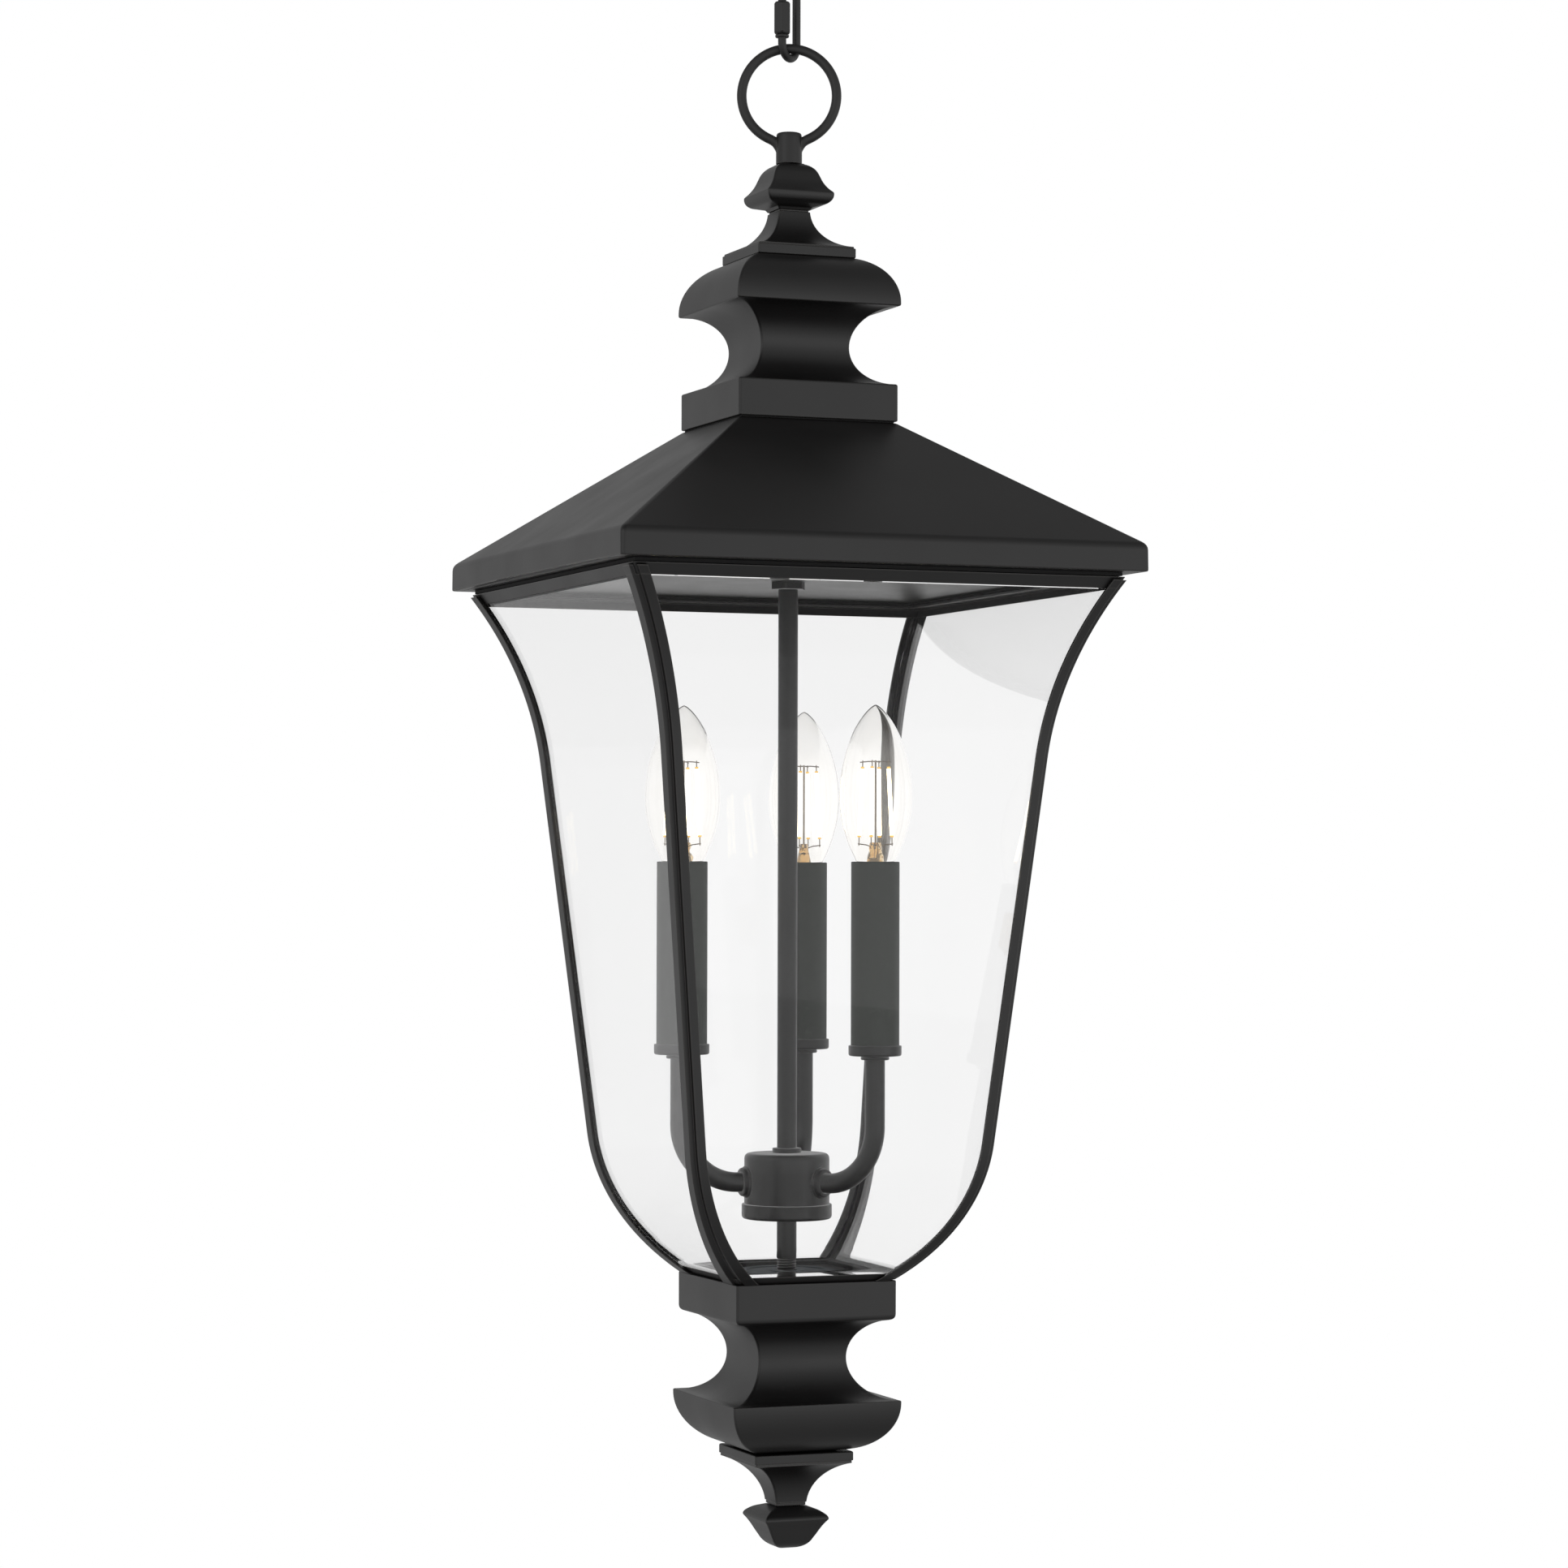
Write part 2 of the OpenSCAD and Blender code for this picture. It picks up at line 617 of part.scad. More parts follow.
quick_link();
link_nut();
loop();
top_cap();
top_collar();
top_cove();
top_bell();
roof_seal();
roof();
eave_gasket();
ceiling_plate();
ceiling_nuts();
upper_stem();
lower_stem();
hub_body();
hub_cover();
hub_washers();
arm_collars();
arm(arm_turns[0]);  // arm_1
arm(arm_turns[1]);  // arm_2
arm(arm_turns[2]);  // arm_3
cup(arm_turns[0]);  // cup_1
cup(arm_turns[1]);  // cup_2
cup(arm_turns[2]);  // cup_3
cup_washers();
socket(arm_turns[0]);  // socket_1
socket(arm_turns[1]);  // socket_2
socket(arm_turns[2]);  // socket_3
sleeve(arm_turns[0]);  // sleeve_1
sleeve(arm_turns[1]);  // sleeve_2
sleeve(arm_turns[2]);  // sleeve_3
top_rail();
color(col_metal) bar();  // bar_1
color(col_metal) mirror([1, 0, 0]) bar();  // bar_2
color(col_metal) mirror([1, 0, 0]) mirror([0, 1, 0]) bar();  // bar_3
color(col_metal) mirror([0, 1, 0]) bar();  // bar_4
color("#dfe4e6", 0.35) mirror([0, 1, 0]) glass_pane();  // glass_front
color("#dfe4e6", 0.35) glass_pane();  // glass_back
color("#dfe4e6", 0.35) rotate([0, 0, 90]) glass_pane();  // glass_left
color("#dfe4e6", 0.35) rotate([0, 0, -90]) glass_pane();  // glass_right
base_tray();
base_disc();
lower_bell();
lower_cove();
lower_collar();
bottom_cap();
bulb_glass(arm_turns[0]);  // bulb_glass_1
bulb_base(arm_turns[0]);  // bulb_base_1
bulb_mount(arm_turns[0]);  // bulb_mount_1
filaments(arm_turns[0]);  // filaments_1
bulb_glass(arm_turns[1]);  // bulb_glass_2
bulb_base(arm_turns[1]);  // bulb_base_2
bulb_mount(arm_turns[1]);  // bulb_mount_2
filaments(arm_turns[1]);  // filaments_2
bulb_glass(arm_turns[2]);  // bulb_glass_3
bulb_base(arm_turns[2]);  // bulb_base_3
bulb_mount(arm_turns[2]);  // bulb_mount_3
filaments(arm_turns[2]);  // filaments_3
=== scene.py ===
"""Looks of the hanging lantern: satin powder coated castings and sheet, bent clear panes, candle lamps.

Shapes are worked out in millimetres as grids of points and put into meshes in metres.
"""

import json
import math

import bmesh
import bpy
import numpy as np
from mathutils import Matrix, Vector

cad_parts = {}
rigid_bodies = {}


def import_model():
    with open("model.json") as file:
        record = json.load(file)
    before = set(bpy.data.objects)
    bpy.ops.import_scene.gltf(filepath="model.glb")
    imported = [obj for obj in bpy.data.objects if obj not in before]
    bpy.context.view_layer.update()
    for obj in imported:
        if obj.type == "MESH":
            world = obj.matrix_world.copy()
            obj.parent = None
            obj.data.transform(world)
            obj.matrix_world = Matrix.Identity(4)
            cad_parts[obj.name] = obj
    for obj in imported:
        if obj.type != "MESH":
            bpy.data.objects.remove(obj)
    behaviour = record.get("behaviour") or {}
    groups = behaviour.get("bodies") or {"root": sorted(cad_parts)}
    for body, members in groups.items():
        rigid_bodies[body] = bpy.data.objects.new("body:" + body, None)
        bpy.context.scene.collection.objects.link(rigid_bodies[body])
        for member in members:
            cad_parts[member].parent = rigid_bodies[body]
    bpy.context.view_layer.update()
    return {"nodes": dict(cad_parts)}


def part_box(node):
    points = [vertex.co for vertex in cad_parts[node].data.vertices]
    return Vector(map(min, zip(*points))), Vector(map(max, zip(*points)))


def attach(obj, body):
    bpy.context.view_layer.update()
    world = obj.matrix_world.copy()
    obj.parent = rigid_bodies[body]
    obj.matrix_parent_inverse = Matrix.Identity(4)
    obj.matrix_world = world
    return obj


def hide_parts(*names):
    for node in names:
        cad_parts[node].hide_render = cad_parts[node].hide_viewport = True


MM = 0.001
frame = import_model()


# ---- sizes taken from the frame, in millimetres ----


def low(node):
    """Lowest point of a CAD node."""
    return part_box(node)[0].z / MM


def high(node):
    """Highest point of a CAD node."""
    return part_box(node)[1].z / MM


def half(node):
    """Half width of a CAD node that is centred on the axis."""
    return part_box(node)[1].x / MM


# Gap between pieces that meet, radii of the bores that grip and clear the stem, thickness of the cove's plinth
SEAM = 0.1
BORE_FIXED = 4.85
BORE_RUNNING = 5.15
PLINTH_T = 4.7
STEM_R = half("upper_stem")
WIRE_BORE = STEM_R - 1.65

z_cap = high("top_cap")
z_cove = high("top_cove")
z_plinth = low("top_cove") + PLINTH_T
z_bell = high("top_bell")
z_block_foot = low("top_bell")
z_rim = z_bell - 23.9
z_roof = high("roof")
z_eave = low("roof")
z_bend = z_eave + 12.6
z_cage = high("top_rail")
z_base = low("bar_1") - SEAM
z_lower_block = z_base - 18.1
z_lower_rim = z_lower_block - 39.4
z_lower_plinth = low("lower_bell")
z_lower_cove = high("lower_cove") - 4.4
z_lower_collar = low("lower_cove")
z_foot_cap = high("bottom_cap")
z_foot = low("bottom_cap")
z_hub_top = high("hub_body")
z_hub_seam = low("hub_body")
z_hub_foot = low("hub_cover")
z_arm = z_hub_top - 13.5
z_cup = low("cup_1")
z_sleeve = low("sleeve_1")
z_mouth = high("sleeve_1")
z_tip = high("bulb_glass_1")
z_wide = z_tip - 43.8

eave = half("roof")
block = half("top_bell") - 1.2
plinth = half("top_cove")
hub_r = half("hub_body")
arm_out = (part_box("sleeve_1")[0].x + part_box("sleeve_1")[1].x) / -2 / MM
sleeve_r = (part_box("sleeve_1")[1].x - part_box("sleeve_1")[0].x) / 2 / MM
arm_r = (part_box("arm_1")[1].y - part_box("arm_1")[0].y) / 2 / MM
ARM_TURNS = {1: 180.0, 2: 300.0, 3: 60.0}

# Corner bar section: notch along the corner, flange thickness and the two legs
NOTCH, FLANGE, LEG_FRONT, LEG_SIDE = 2.7, 1.8, 7.0, 10.2
WEB = NOTCH + FLANGE

# Side curve of the cage: flare arc, straight and foot arc, tangent to each other
FLARE_R, FOOT_R = 200.0, 99.0
FLARE_A, FOOT_A = math.radians(31.7), math.radians(50.3)
flare_x = eave - 6 + FLARE_R * math.cos(FLARE_A)
flare_z = z_cage - FLARE_R * math.sin(FLARE_A)
foot_x = block + 0.6 - FOOT_R * math.cos(FOOT_A)
foot_z = z_base + FOOT_R * math.sin(FOOT_A)
LEAN = math.acos((FLARE_R + FOOT_R) / math.hypot(flare_x - foot_x, flare_z - foot_z)) - math.atan2(
    flare_z - foot_z, flare_x - foot_x
)


def cage_edge(inset, z):
    """Half width of the cage at height z, set in from its skin.

    Below the foot tangent: foot_x + root((FOOT_R - inset)^2 - (z - foot_z)^2).
    Above the flare tangent: flare_x - root((FLARE_R + inset)^2 - (z - flare_z)^2).
    Between them: the straight line that joins the two tangent points.
    """
    inset, z = np.broadcast_arrays(np.asarray(inset, float), np.asarray(z, float))
    foot_r, flare_r = FOOT_R - inset, FLARE_R + inset
    xa, za = foot_x + foot_r * math.cos(LEAN), foot_z - foot_r * math.sin(LEAN)
    xb, zb = flare_x - flare_r * math.cos(LEAN), flare_z + flare_r * math.sin(LEAN)
    foot = foot_x + np.sqrt(np.maximum(foot_r**2 - (z - foot_z) ** 2, 0))
    flare = flare_x - np.sqrt(np.maximum(flare_r**2 - (z - flare_z) ** 2, 0))
    line = xa + (xb - xa) * (z - za) / (zb - za)
    return np.where(z < za, foot, np.where(z > zb, flare, line))


# ---- shapes: each gives a grid of points (rows, points round, xyz) ----


def eased(rows, steps=4):
    """Rounds a profile's corners. The last column is how far from the corner the rounding starts.

    Each corner p becomes the parabola (1-s)^2 a + 2s(1-s) p + s^2 b, where a and b lie that far back and on.
    """
    rows = np.asarray(rows, float)
    p, start = rows[:, :-1], rows[:, -1:]

    def towards(q):
        length = np.linalg.norm((q - p)[:, :2], axis=1, keepdims=True)
        return p + (q - p) * np.minimum(start / np.maximum(length, 1e-9), 0.48)

    a, b = towards(np.roll(p, 1, 0))[:, None], towards(np.roll(p, -1, 0))[:, None]
    s = np.linspace(0, 1, steps + 1)[None, :, None]
    line = ((1 - s) ** 2 * a + 2 * s * (1 - s) * p[:, None] + s**2 * b).reshape(-1, p.shape[1])
    return line[np.linalg.norm(line - np.roll(line, 1, 0), axis=1) > 1e-5]


def bow(w, z, r, start, end, steps, corner=1.0):
    """Profile rows along an arc of radius r about (w, z), from start to end degrees."""
    t = np.radians(np.linspace(start, end, steps + 1))
    flat = np.zeros(steps + 1)
    return np.column_stack([w + r * np.cos(t), z + r * np.sin(t), flat + corner, flat])


def squared(rows, corner_steps=5, stations=()):
    """Rounded square rings from profile rows (half width w, height z, corner radius r).

    A corner is a quarter arc of radius r about (w - r, w - r); the other three are its quarter turns, and
    r = w makes a circle. Stations add points along each side at those shares of w.
    """
    w, z, r = np.asarray(rows, float).T[:, :, None]
    r = np.minimum(r, w)
    t = np.linspace(0, math.pi / 2, corner_steps + 1)
    x = np.hstack([w - r + r * np.cos(t), *[np.clip(s * w, r - w, w - r) for s in stations]])
    y = np.hstack([w - r + r * np.sin(t), *[w for _ in stations]])
    x, y = np.hstack([x, -y, -x, y]), np.hstack([y, x, -y, -x])
    return np.stack([x, y, z + 0 * x], -1)


def turned(rows, steps=64):
    """A profile (radius, height) turned about the axis: x = r cos v, y = r sin v."""
    r, z = np.asarray(rows, float)[:, 0, None], np.asarray(rows, float)[:, 1, None]
    v = np.arange(steps) * 2 * math.pi / steps
    return np.stack([r * np.cos(v), r * np.sin(v), z + 0 * v], -1)


def tube(path, radius, steps=20):
    """A round tube along a flat path (x, z): centre + radius (cos v normal + sin v Y)."""
    path = np.asarray(path, float)
    along = np.gradient(path, axis=0)
    along /= np.linalg.norm(along, axis=1, keepdims=True)
    radius = np.broadcast_to(np.asarray(radius, float), len(path))[:, None]
    v = np.arange(steps) * 2 * math.pi / steps
    x = path[:, :1] + radius * np.cos(v) * along[:, 1:]
    z = path[:, 1:] - radius * np.cos(v) * along[:, :1]
    return np.stack([x, radius * np.sin(v) + 0 * x, z], -1)


def moved(points, turn=0.0, out=0.0, up=0.0):
    """Points shifted out along X and up, then turned about the lantern's axis by degrees."""
    c, s = math.cos(math.radians(turn)), math.sin(math.radians(turn))
    x, y, z = points[..., 0] + out, points[..., 1], points[..., 2] + up
    return np.stack([c * x - s * y, s * x + c * y, z], -1)


# ---- meshes ----


def shell(points, looped=True):
    """A closed mesh from a grid. Points are joined all round; rows join last to first, or get flat end faces.

    Rows whose points fall together become a pole. Faces end up pointing outwards.
    """
    rows, around = points.shape[:2]
    index = np.arange(rows * around).reshape(rows, around)
    grid = np.hstack([index, index[:, :1]])
    if looped:
        grid = np.vstack([grid, grid[:1]])
    quads = np.stack([grid[:-1, :-1], grid[1:, :-1], grid[1:, 1:], grid[:-1, 1:]], -1).reshape(-1, 4)
    faces = quads.tolist() if looped else [*quads.tolist(), index[0].tolist(), index[-1].tolist()]
    mesh = bpy.data.meshes.new("part")
    mesh.from_pydata((points.reshape(-1, 3) * MM).tolist(), [], faces)
    bm = bmesh.new()
    bm.from_mesh(mesh)
    bmesh.ops.remove_doubles(bm, verts=bm.verts, dist=2e-7)
    bmesh.ops.dissolve_degenerate(bm, edges=bm.edges, dist=1e-8)
    bmesh.ops.recalc_face_normals(bm, faces=bm.faces)
    bm.to_mesh(mesh)
    bm.free()
    return mesh


def piece(name, body, material, parts, replaces=(), weighted=True):
    """One named piece from its closed meshes, smooth except across edges sharper than 34 degrees."""
    bm = bmesh.new()
    for part in parts:
        bm.from_mesh(part)
        bpy.data.meshes.remove(part)
    mesh = bpy.data.meshes.new(name)
    bm.to_mesh(mesh)
    bm.free()
    mesh.shade_smooth()
    mesh.set_sharp_from_angle(angle=math.radians(34))
    mesh.materials.append(material)
    made = bpy.data.objects.new(name, mesh)
    bpy.context.scene.collection.objects.link(made)
    if weighted:
        modifier = made.modifiers.new("flat faces stay flat", "WEIGHTED_NORMAL")
        modifier.keep_sharp = True
        modifier.weight = 80
    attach(made, body)
    if replaces:
        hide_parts(*replaces)
    return made


# ---- materials ----


def linear(code):
    """sRGB hex to linear red, green, blue, alpha."""
    c = np.array([int(code[i : i + 2], 16) for i in (1, 3, 5)]) / 255
    return (*np.where(c <= 0.04045, c / 12.92, ((c + 0.055) / 1.055) ** 2.4).tolist(), 1.0)


def per_mm(size):
    """Texture scale that gives features of this many millimetres on coordinates in metres."""
    return 1 / (size * MM)


def add(tree, kind, sockets=None, **settings):
    """Adds a node. Settings are its properties; sockets maps inputs to a value or to the output linked in."""
    made = tree.nodes.new("ShaderNode" + kind)
    for key, value in settings.items():
        setattr(made, key, value)
    for key, value in (sockets or {}).items():
        if isinstance(value, bpy.types.NodeSocket):
            tree.links.new(value, made.inputs[key])
        else:
            made.inputs[key].default_value = value
    return made


def new_material(name):
    """An empty node material with its output node: returns material, tree and output."""
    made = bpy.data.materials.new(name)
    made.use_nodes = True
    made.node_tree.nodes.clear()
    return made, made.node_tree, add(made.node_tree, "OutputMaterial")


def powder_coat(name, dark, light, rough, peel_mm, peel_depth, edge_highlight):
    """Baked powder coat: a slow drift of shade and sheen, fine orange peel, and a painted highlight on the
    edges: a paler film where they would catch the light.
    """
    made, tree, out = new_material(name)
    place = add(tree, "TexCoord").outputs["Object"]
    drift = add(tree, "TexNoise", {"Vector": place, "Scale": per_mm(38), "Detail": 4.0}).outputs["Fac"]
    peel = add(tree, "TexNoise", {"Vector": place, "Scale": per_mm(peel_mm), "Detail": 2.0}).outputs["Fac"]
    edge = add(tree, "Bevel", {"Radius": 0.9 * MM}, samples=4).outputs["Normal"]
    face = add(tree, "NewGeometry").outputs["Normal"]
    same = add(tree, "VectorMath", {0: edge, 1: face}, operation="DOT_PRODUCT").outputs["Value"]
    # Painted highlight: rounded edges are mixed towards a pale grey, as where they would catch the light
    edge_highlight_mix = add(
        tree, "MapRange", {"Value": same, "From Min": 0.99, "From Max": 0.80, "To Min": 0.0, "To Max": edge_highlight}
    ).outputs["Result"]
    shade = add(
        tree, "MapRange", {"Value": drift, "From Min": 0.3, "From Max": 0.7, "To Min": 0.0, "To Max": 1.0}
    ).outputs["Result"]
    body = add(
        tree, "Mix", {"Factor": shade, "A": linear(dark), "B": linear(light)}, data_type="RGBA"
    ).outputs["Result"]
    body = add(
        tree, "Mix", {"Factor": edge_highlight_mix, "A": body, "B": linear("#8a8683")}, data_type="RGBA"
    ).outputs["Result"]
    sheen = add(
        tree,
        "MapRange",
        {"Value": drift, "From Min": 0.3, "From Max": 0.7, "To Min": rough - 0.03, "To Max": rough + 0.03},
    ).outputs["Result"]
    bump = add(tree, "Bump", {"Height": peel, "Strength": 0.5, "Distance": peel_depth * MM}).outputs["Normal"]
    surface = add(
        tree, "BsdfPrincipled", {"Base Color": body, "Roughness": sheen, "Normal": bump, "IOR": 1.5}
    )
    tree.links.new(surface.outputs["BSDF"], out.inputs["Surface"])
    return made


def speckled(name, ground, speck, speck_mm, rough, amount=0.5):
    """A flat ground with small paler specks, and a light bump where they sit."""
    made, tree, out = new_material(name)
    place = add(tree, "TexCoord").outputs["Object"]
    grain = add(tree, "TexNoise", {"Vector": place, "Scale": per_mm(speck_mm), "Detail": 3.0}).outputs["Fac"]
    specks = add(
        tree, "MapRange", {"Value": grain, "From Min": 0.5, "From Max": 0.72, "To Min": 0.0, "To Max": amount}
    ).outputs["Result"]
    body = add(
        tree, "Mix", {"Factor": specks, "A": linear(ground), "B": linear(speck)}, data_type="RGBA"
    ).outputs["Result"]
    bump = add(tree, "Bump", {"Height": grain, "Strength": 0.4, "Distance": 0.05 * MM}).outputs["Normal"]
    surface = add(
        tree, "BsdfPrincipled", {"Base Color": body, "Roughness": rough, "Normal": bump, "IOR": 1.5}
    )
    tree.links.new(surface.outputs["BSDF"], out.inputs["Surface"])
    return made


def metal(name, dark, light, rough, grain_mm):
    """Bare metal: a fine mottle of two shades and an uneven polish."""
    made, tree, out = new_material(name)
    place = add(tree, "TexCoord").outputs["Object"]
    mottle = add(tree, "TexNoise", {"Vector": place, "Scale": per_mm(grain_mm), "Detail": 4.0}).outputs["Fac"]
    body = add(
        tree, "Mix", {"Factor": mottle, "A": linear(dark), "B": linear(light)}, data_type="RGBA"
    ).outputs["Result"]
    polish = add(
        tree,
        "MapRange",
        {"Value": mottle, "From Min": 0.3, "From Max": 0.7, "To Min": rough - 0.06, "To Max": rough + 0.06},
    ).outputs["Result"]
    surface = add(tree, "BsdfPrincipled", {"Base Color": body, "Roughness": polish, "Metallic": 1.0})
    tree.links.new(surface.outputs["BSDF"], out.inputs["Surface"])
    return made


def clear_glass(name, pale, deep, rough, ripple_mm, ripple_depth, ior, glow=0.0):
    """Clear glass: a faint tint that drifts, and a slow ripple in its surface.

    Glow is lamp light caught in the glass: strongest beside the light bars, fading to the tip.
    """
    made, tree, out = new_material(name)
    place = add(tree, "TexCoord").outputs["Object"]
    drift = add(tree, "TexNoise", {"Vector": place, "Scale": per_mm(ripple_mm), "Detail": 1.0}).outputs["Fac"]
    body = add(
        tree, "Mix", {"Factor": drift, "A": linear(pale), "B": linear(deep)}, data_type="RGBA"
    ).outputs["Result"]
    bump = add(tree, "Bump", {"Height": drift, "Strength": 0.3, "Distance": ripple_depth * MM})
    surface = add(
        tree,
        "BsdfPrincipled",
        {
            "Base Color": body,
            "Roughness": rough,
            "Normal": bump.outputs["Normal"],
            "IOR": ior,
            "Transmission Weight": 1.0,
        },
    )
    if glow:
        height = add(tree, "SeparateXYZ", {"Vector": place}).outputs["Z"]
        bright = add(
            tree,
            "MapRange",
            {
                "Value": height,
                "From Min": (z_wide + 4) * MM,
                "From Max": (z_wide + 40) * MM,
                "To Min": 1.0,
                "To Max": 0.25,
            },
            interpolation_type="SMOOTHSTEP",
        ).outputs["Result"]
        caught = add(
            tree, "Mix", {"Factor": bright, "A": linear("#000000"), "B": linear("#fff6e6")}, data_type="RGBA"
        ).outputs["Result"]
        tree.links.new(caught, surface.inputs["Emission Color"])
        surface.inputs["Emission Strength"].default_value = glow
    tree.links.new(surface.outputs["BSDF"], out.inputs["Surface"])
    return made


# Black powder coat on die-cast aluminium: satin, with a just visible orange peel
cast_coat = powder_coat("satin powder coat on cast aluminium", "#0c0b0b", "#121111", 0.38, 0.9, 0.02, 0.25)
# The same coat on pressed sheet and drawn tube: a little smoother and flatter
sheet_coat = powder_coat("satin powder coat on pressed sheet", "#0c0b0b", "#121111", 0.40, 1.2, 0.012, 0.25)
# The same coat where dust and handling have dulled it, inside the pan under the lamps
pan_coat = powder_coat("dulled powder coat in the base pan", "#0e0d0d", "#161515", 0.72, 1.2, 0.03, 0.2)
# Black paint on bent steel rod: thin, with a soft gloss along the wire
rod_coat = powder_coat("satin paint on bent steel rod", "#131212", "#1a1919", 0.44, 0.7, 0.02, 0.2)
# Fibre candle sleeve with a baked grey-green speckle: matt and grainy
sleeve_finish = speckled("speckled fibre candle sleeve", "#272a27", "#5a5f58", 0.8, 0.62)
# Moulded phenolic lampholder: black, dull
phenolic = speckled("moulded black phenolic", "#141313", "#26231f", 0.5, 0.5, 0.3)
# Moulded rubber seal: black, chalky
rubber = speckled("moulded black rubber", "#0c0c0c", "#1c1b1b", 1.2, 0.8, 0.4)
# Zinc plated steel disc: dull grey-blue
zinc = metal("dull zinc plated steel", "#2a2e31", "#43484c", 0.66, 6)
# Stamped brass: warm, a little tarnished
brass = metal("stamped brass", "#8d6c34", "#c29b55", 0.35, 4)
# Nickel iron lead wire: thin grey-brown wire, slightly oxidised
lead_wire = metal("oxidised nickel wire", "#4a4038", "#8a7a66", 0.4, 0.6)
# Bent float glass, clear with the slightest grey. Its IOR is below real glass, so that it mirrors as little
# as the real panes do and what stands behind stays dark
pane_glass = clear_glass("bent float glass", "#fbfbfb", "#f9f9f9", 0.0, 120, 0.01, 1.25)
# Blown lamp glass, clear and faintly warm
lamp_glass = clear_glass("blown lamp glass", "#ffffff", "#fdfcfa", 0.0, 14, 0.02, 1.42, 0.03)
# Pressed glass stem of the lamp, amber from the lamp's light in it
stem_glass = clear_glass("pressed amber stem glass", "#f2cf8a", "#a5651e", 0.08, 1.6, 0.5, 1.5)

# Lit phosphor on a light bar: warm white all along
phosphor, tree, out = new_material("lit phosphor")
place = add(tree, "TexCoord").outputs["Object"]
grain = add(tree, "TexNoise", {"Vector": place, "Scale": per_mm(0.8), "Detail": 2.0}).outputs["Fac"]
glow = add(
    tree, "Mix", {"Factor": grain, "A": linear("#ffe9b0"), "B": linear("#fff3d4")}, data_type="RGBA"
).outputs["Result"]
surface = add(
    tree,
    "BsdfPrincipled",
    {"Base Color": glow, "Roughness": 0.5, "Emission Color": glow, "Emission Strength": 6.0},
)
tree.links.new(surface.outputs["BSDF"], out.inputs["Surface"])

# Unlit resin ends of the light bars: golden yellow, lit from beside
resin, tree, out = new_material("golden resin")
place = add(tree, "TexCoord").outputs["Object"]
grain = add(tree, "TexNoise", {"Vector": place, "Scale": per_mm(0.6), "Detail": 2.0}).outputs["Fac"]
gold = add(
    tree, "Mix", {"Factor": grain, "A": linear("#e0a52c"), "B": linear("#f3c75c")}, data_type="RGBA"
).outputs["Result"]
surface = add(
    tree,
    "BsdfPrincipled",
    {"Base Color": gold, "Roughness": 0.35, "Emission Color": gold, "Emission Strength": 0.6},
)
tree.links.new(surface.outputs["BSDF"], out.inputs["Surface"])


# ---- link, ring and neck ----

# Link: degrees it is turned, radius of its wire, and radius of its bends on the wire's middle
LINK_TURN, LINK_R, LINK_BEND = 39.0, 2.0, 7.0
z_link_top = high("quick_link") - LINK_R - LINK_BEND
z_link_foot = low("quick_link") + LINK_R + LINK_BEND
z_link_mid = (z_link_top + z_link_foot) / 2
t = np.radians(np.linspace(0, 180, 25))
leg = np.linspace(z_link_foot, z_link_top, 9)[1:-1]
path = np.vstack(
    [
        [[-LINK_BEND, z_link_mid - 3]],
        [[-LINK_BEND, z_link_foot + 0.5]],
        np.column_stack([-LINK_BEND * np.cos(t), z_link_foot - LINK_BEND * np.sin(t)]),
        np.column_stack([np.full(7, LINK_BEND), leg]),
        np.column_stack([LINK_BEND * np.cos(t), z_link_top + LINK_BEND * np.sin(t)]),
        [[-LINK_BEND, z_link_top - 0.5]],
        [[-LINK_BEND, z_link_mid + 3]],
    ]
)
shoulder = eased(
    [
        (1.9, z_link_mid - 9.3, 0),
        (3.35, z_link_mid - 9.3, 0.6),
        (3.35, z_link_mid - 7.9, 0.6),
        (1.9, z_link_mid - 7.9, 0),
    ]
)
piece(
    "quick_link_rod",
    "link",
    rod_coat,
    [
        shell(moved(tube(path, LINK_R), LINK_TURN), looped=False),
        shell(moved(turned(shoulder, 40), LINK_TURN, -LINK_BEND)),
    ],
    ["quick_link"],
)

# Hexagon nut: radius flat / cos(angle to the nearest flat), cut down to a cone at both ends
z_nut = low("link_nut")
NUT_POINTS, NUT_FLAT, NUT_CORNER = 72, 3.81, 4.28
rows = eased(
    [
        (2.08, z_nut, 0.1),
        (3.3, z_nut, 0.3),
        (4.45, z_nut + 1.3, 0.3),
        (4.45, z_nut + 14.3, 0.3),
        (3.3, z_nut + 15.6, 0.3),
        (2.08, z_nut + 15.6, 0.1),
    ],
    3,
)
nut = turned(rows, NUT_POINTS)
v = np.arange(NUT_POINTS) * 2 * math.pi / NUT_POINTS
flats = NUT_FLAT / np.cos((v + math.pi / 6) % (math.pi / 3) - math.pi / 6)
nut[..., :2] *= np.minimum(1, np.minimum(flats, NUT_CORNER) / np.hypot(nut[..., 0], nut[..., 1]))[..., None]
piece(
    "link_nut_hex",
    "link_nut",
    rod_coat,
    [shell(moved(nut, LINK_TURN, -LINK_BEND))],
    ["link_nut"],
)

# Ring: an arc of wire, open at its foot by twice the gap in degrees, whose two ends run down into the neck
RING_TURN, RING_WIRE, RING_R, RING_GAP, RING_STEPS = -21.4, 2.35, 22.95, 23, 145
ring_mid = high("loop") - RING_WIRE - RING_R
t = np.radians(np.linspace(-90 + RING_GAP, 270 - RING_GAP, RING_STEPS))
path = np.column_stack([RING_R * np.cos(t), ring_mid + RING_R * np.sin(t)])
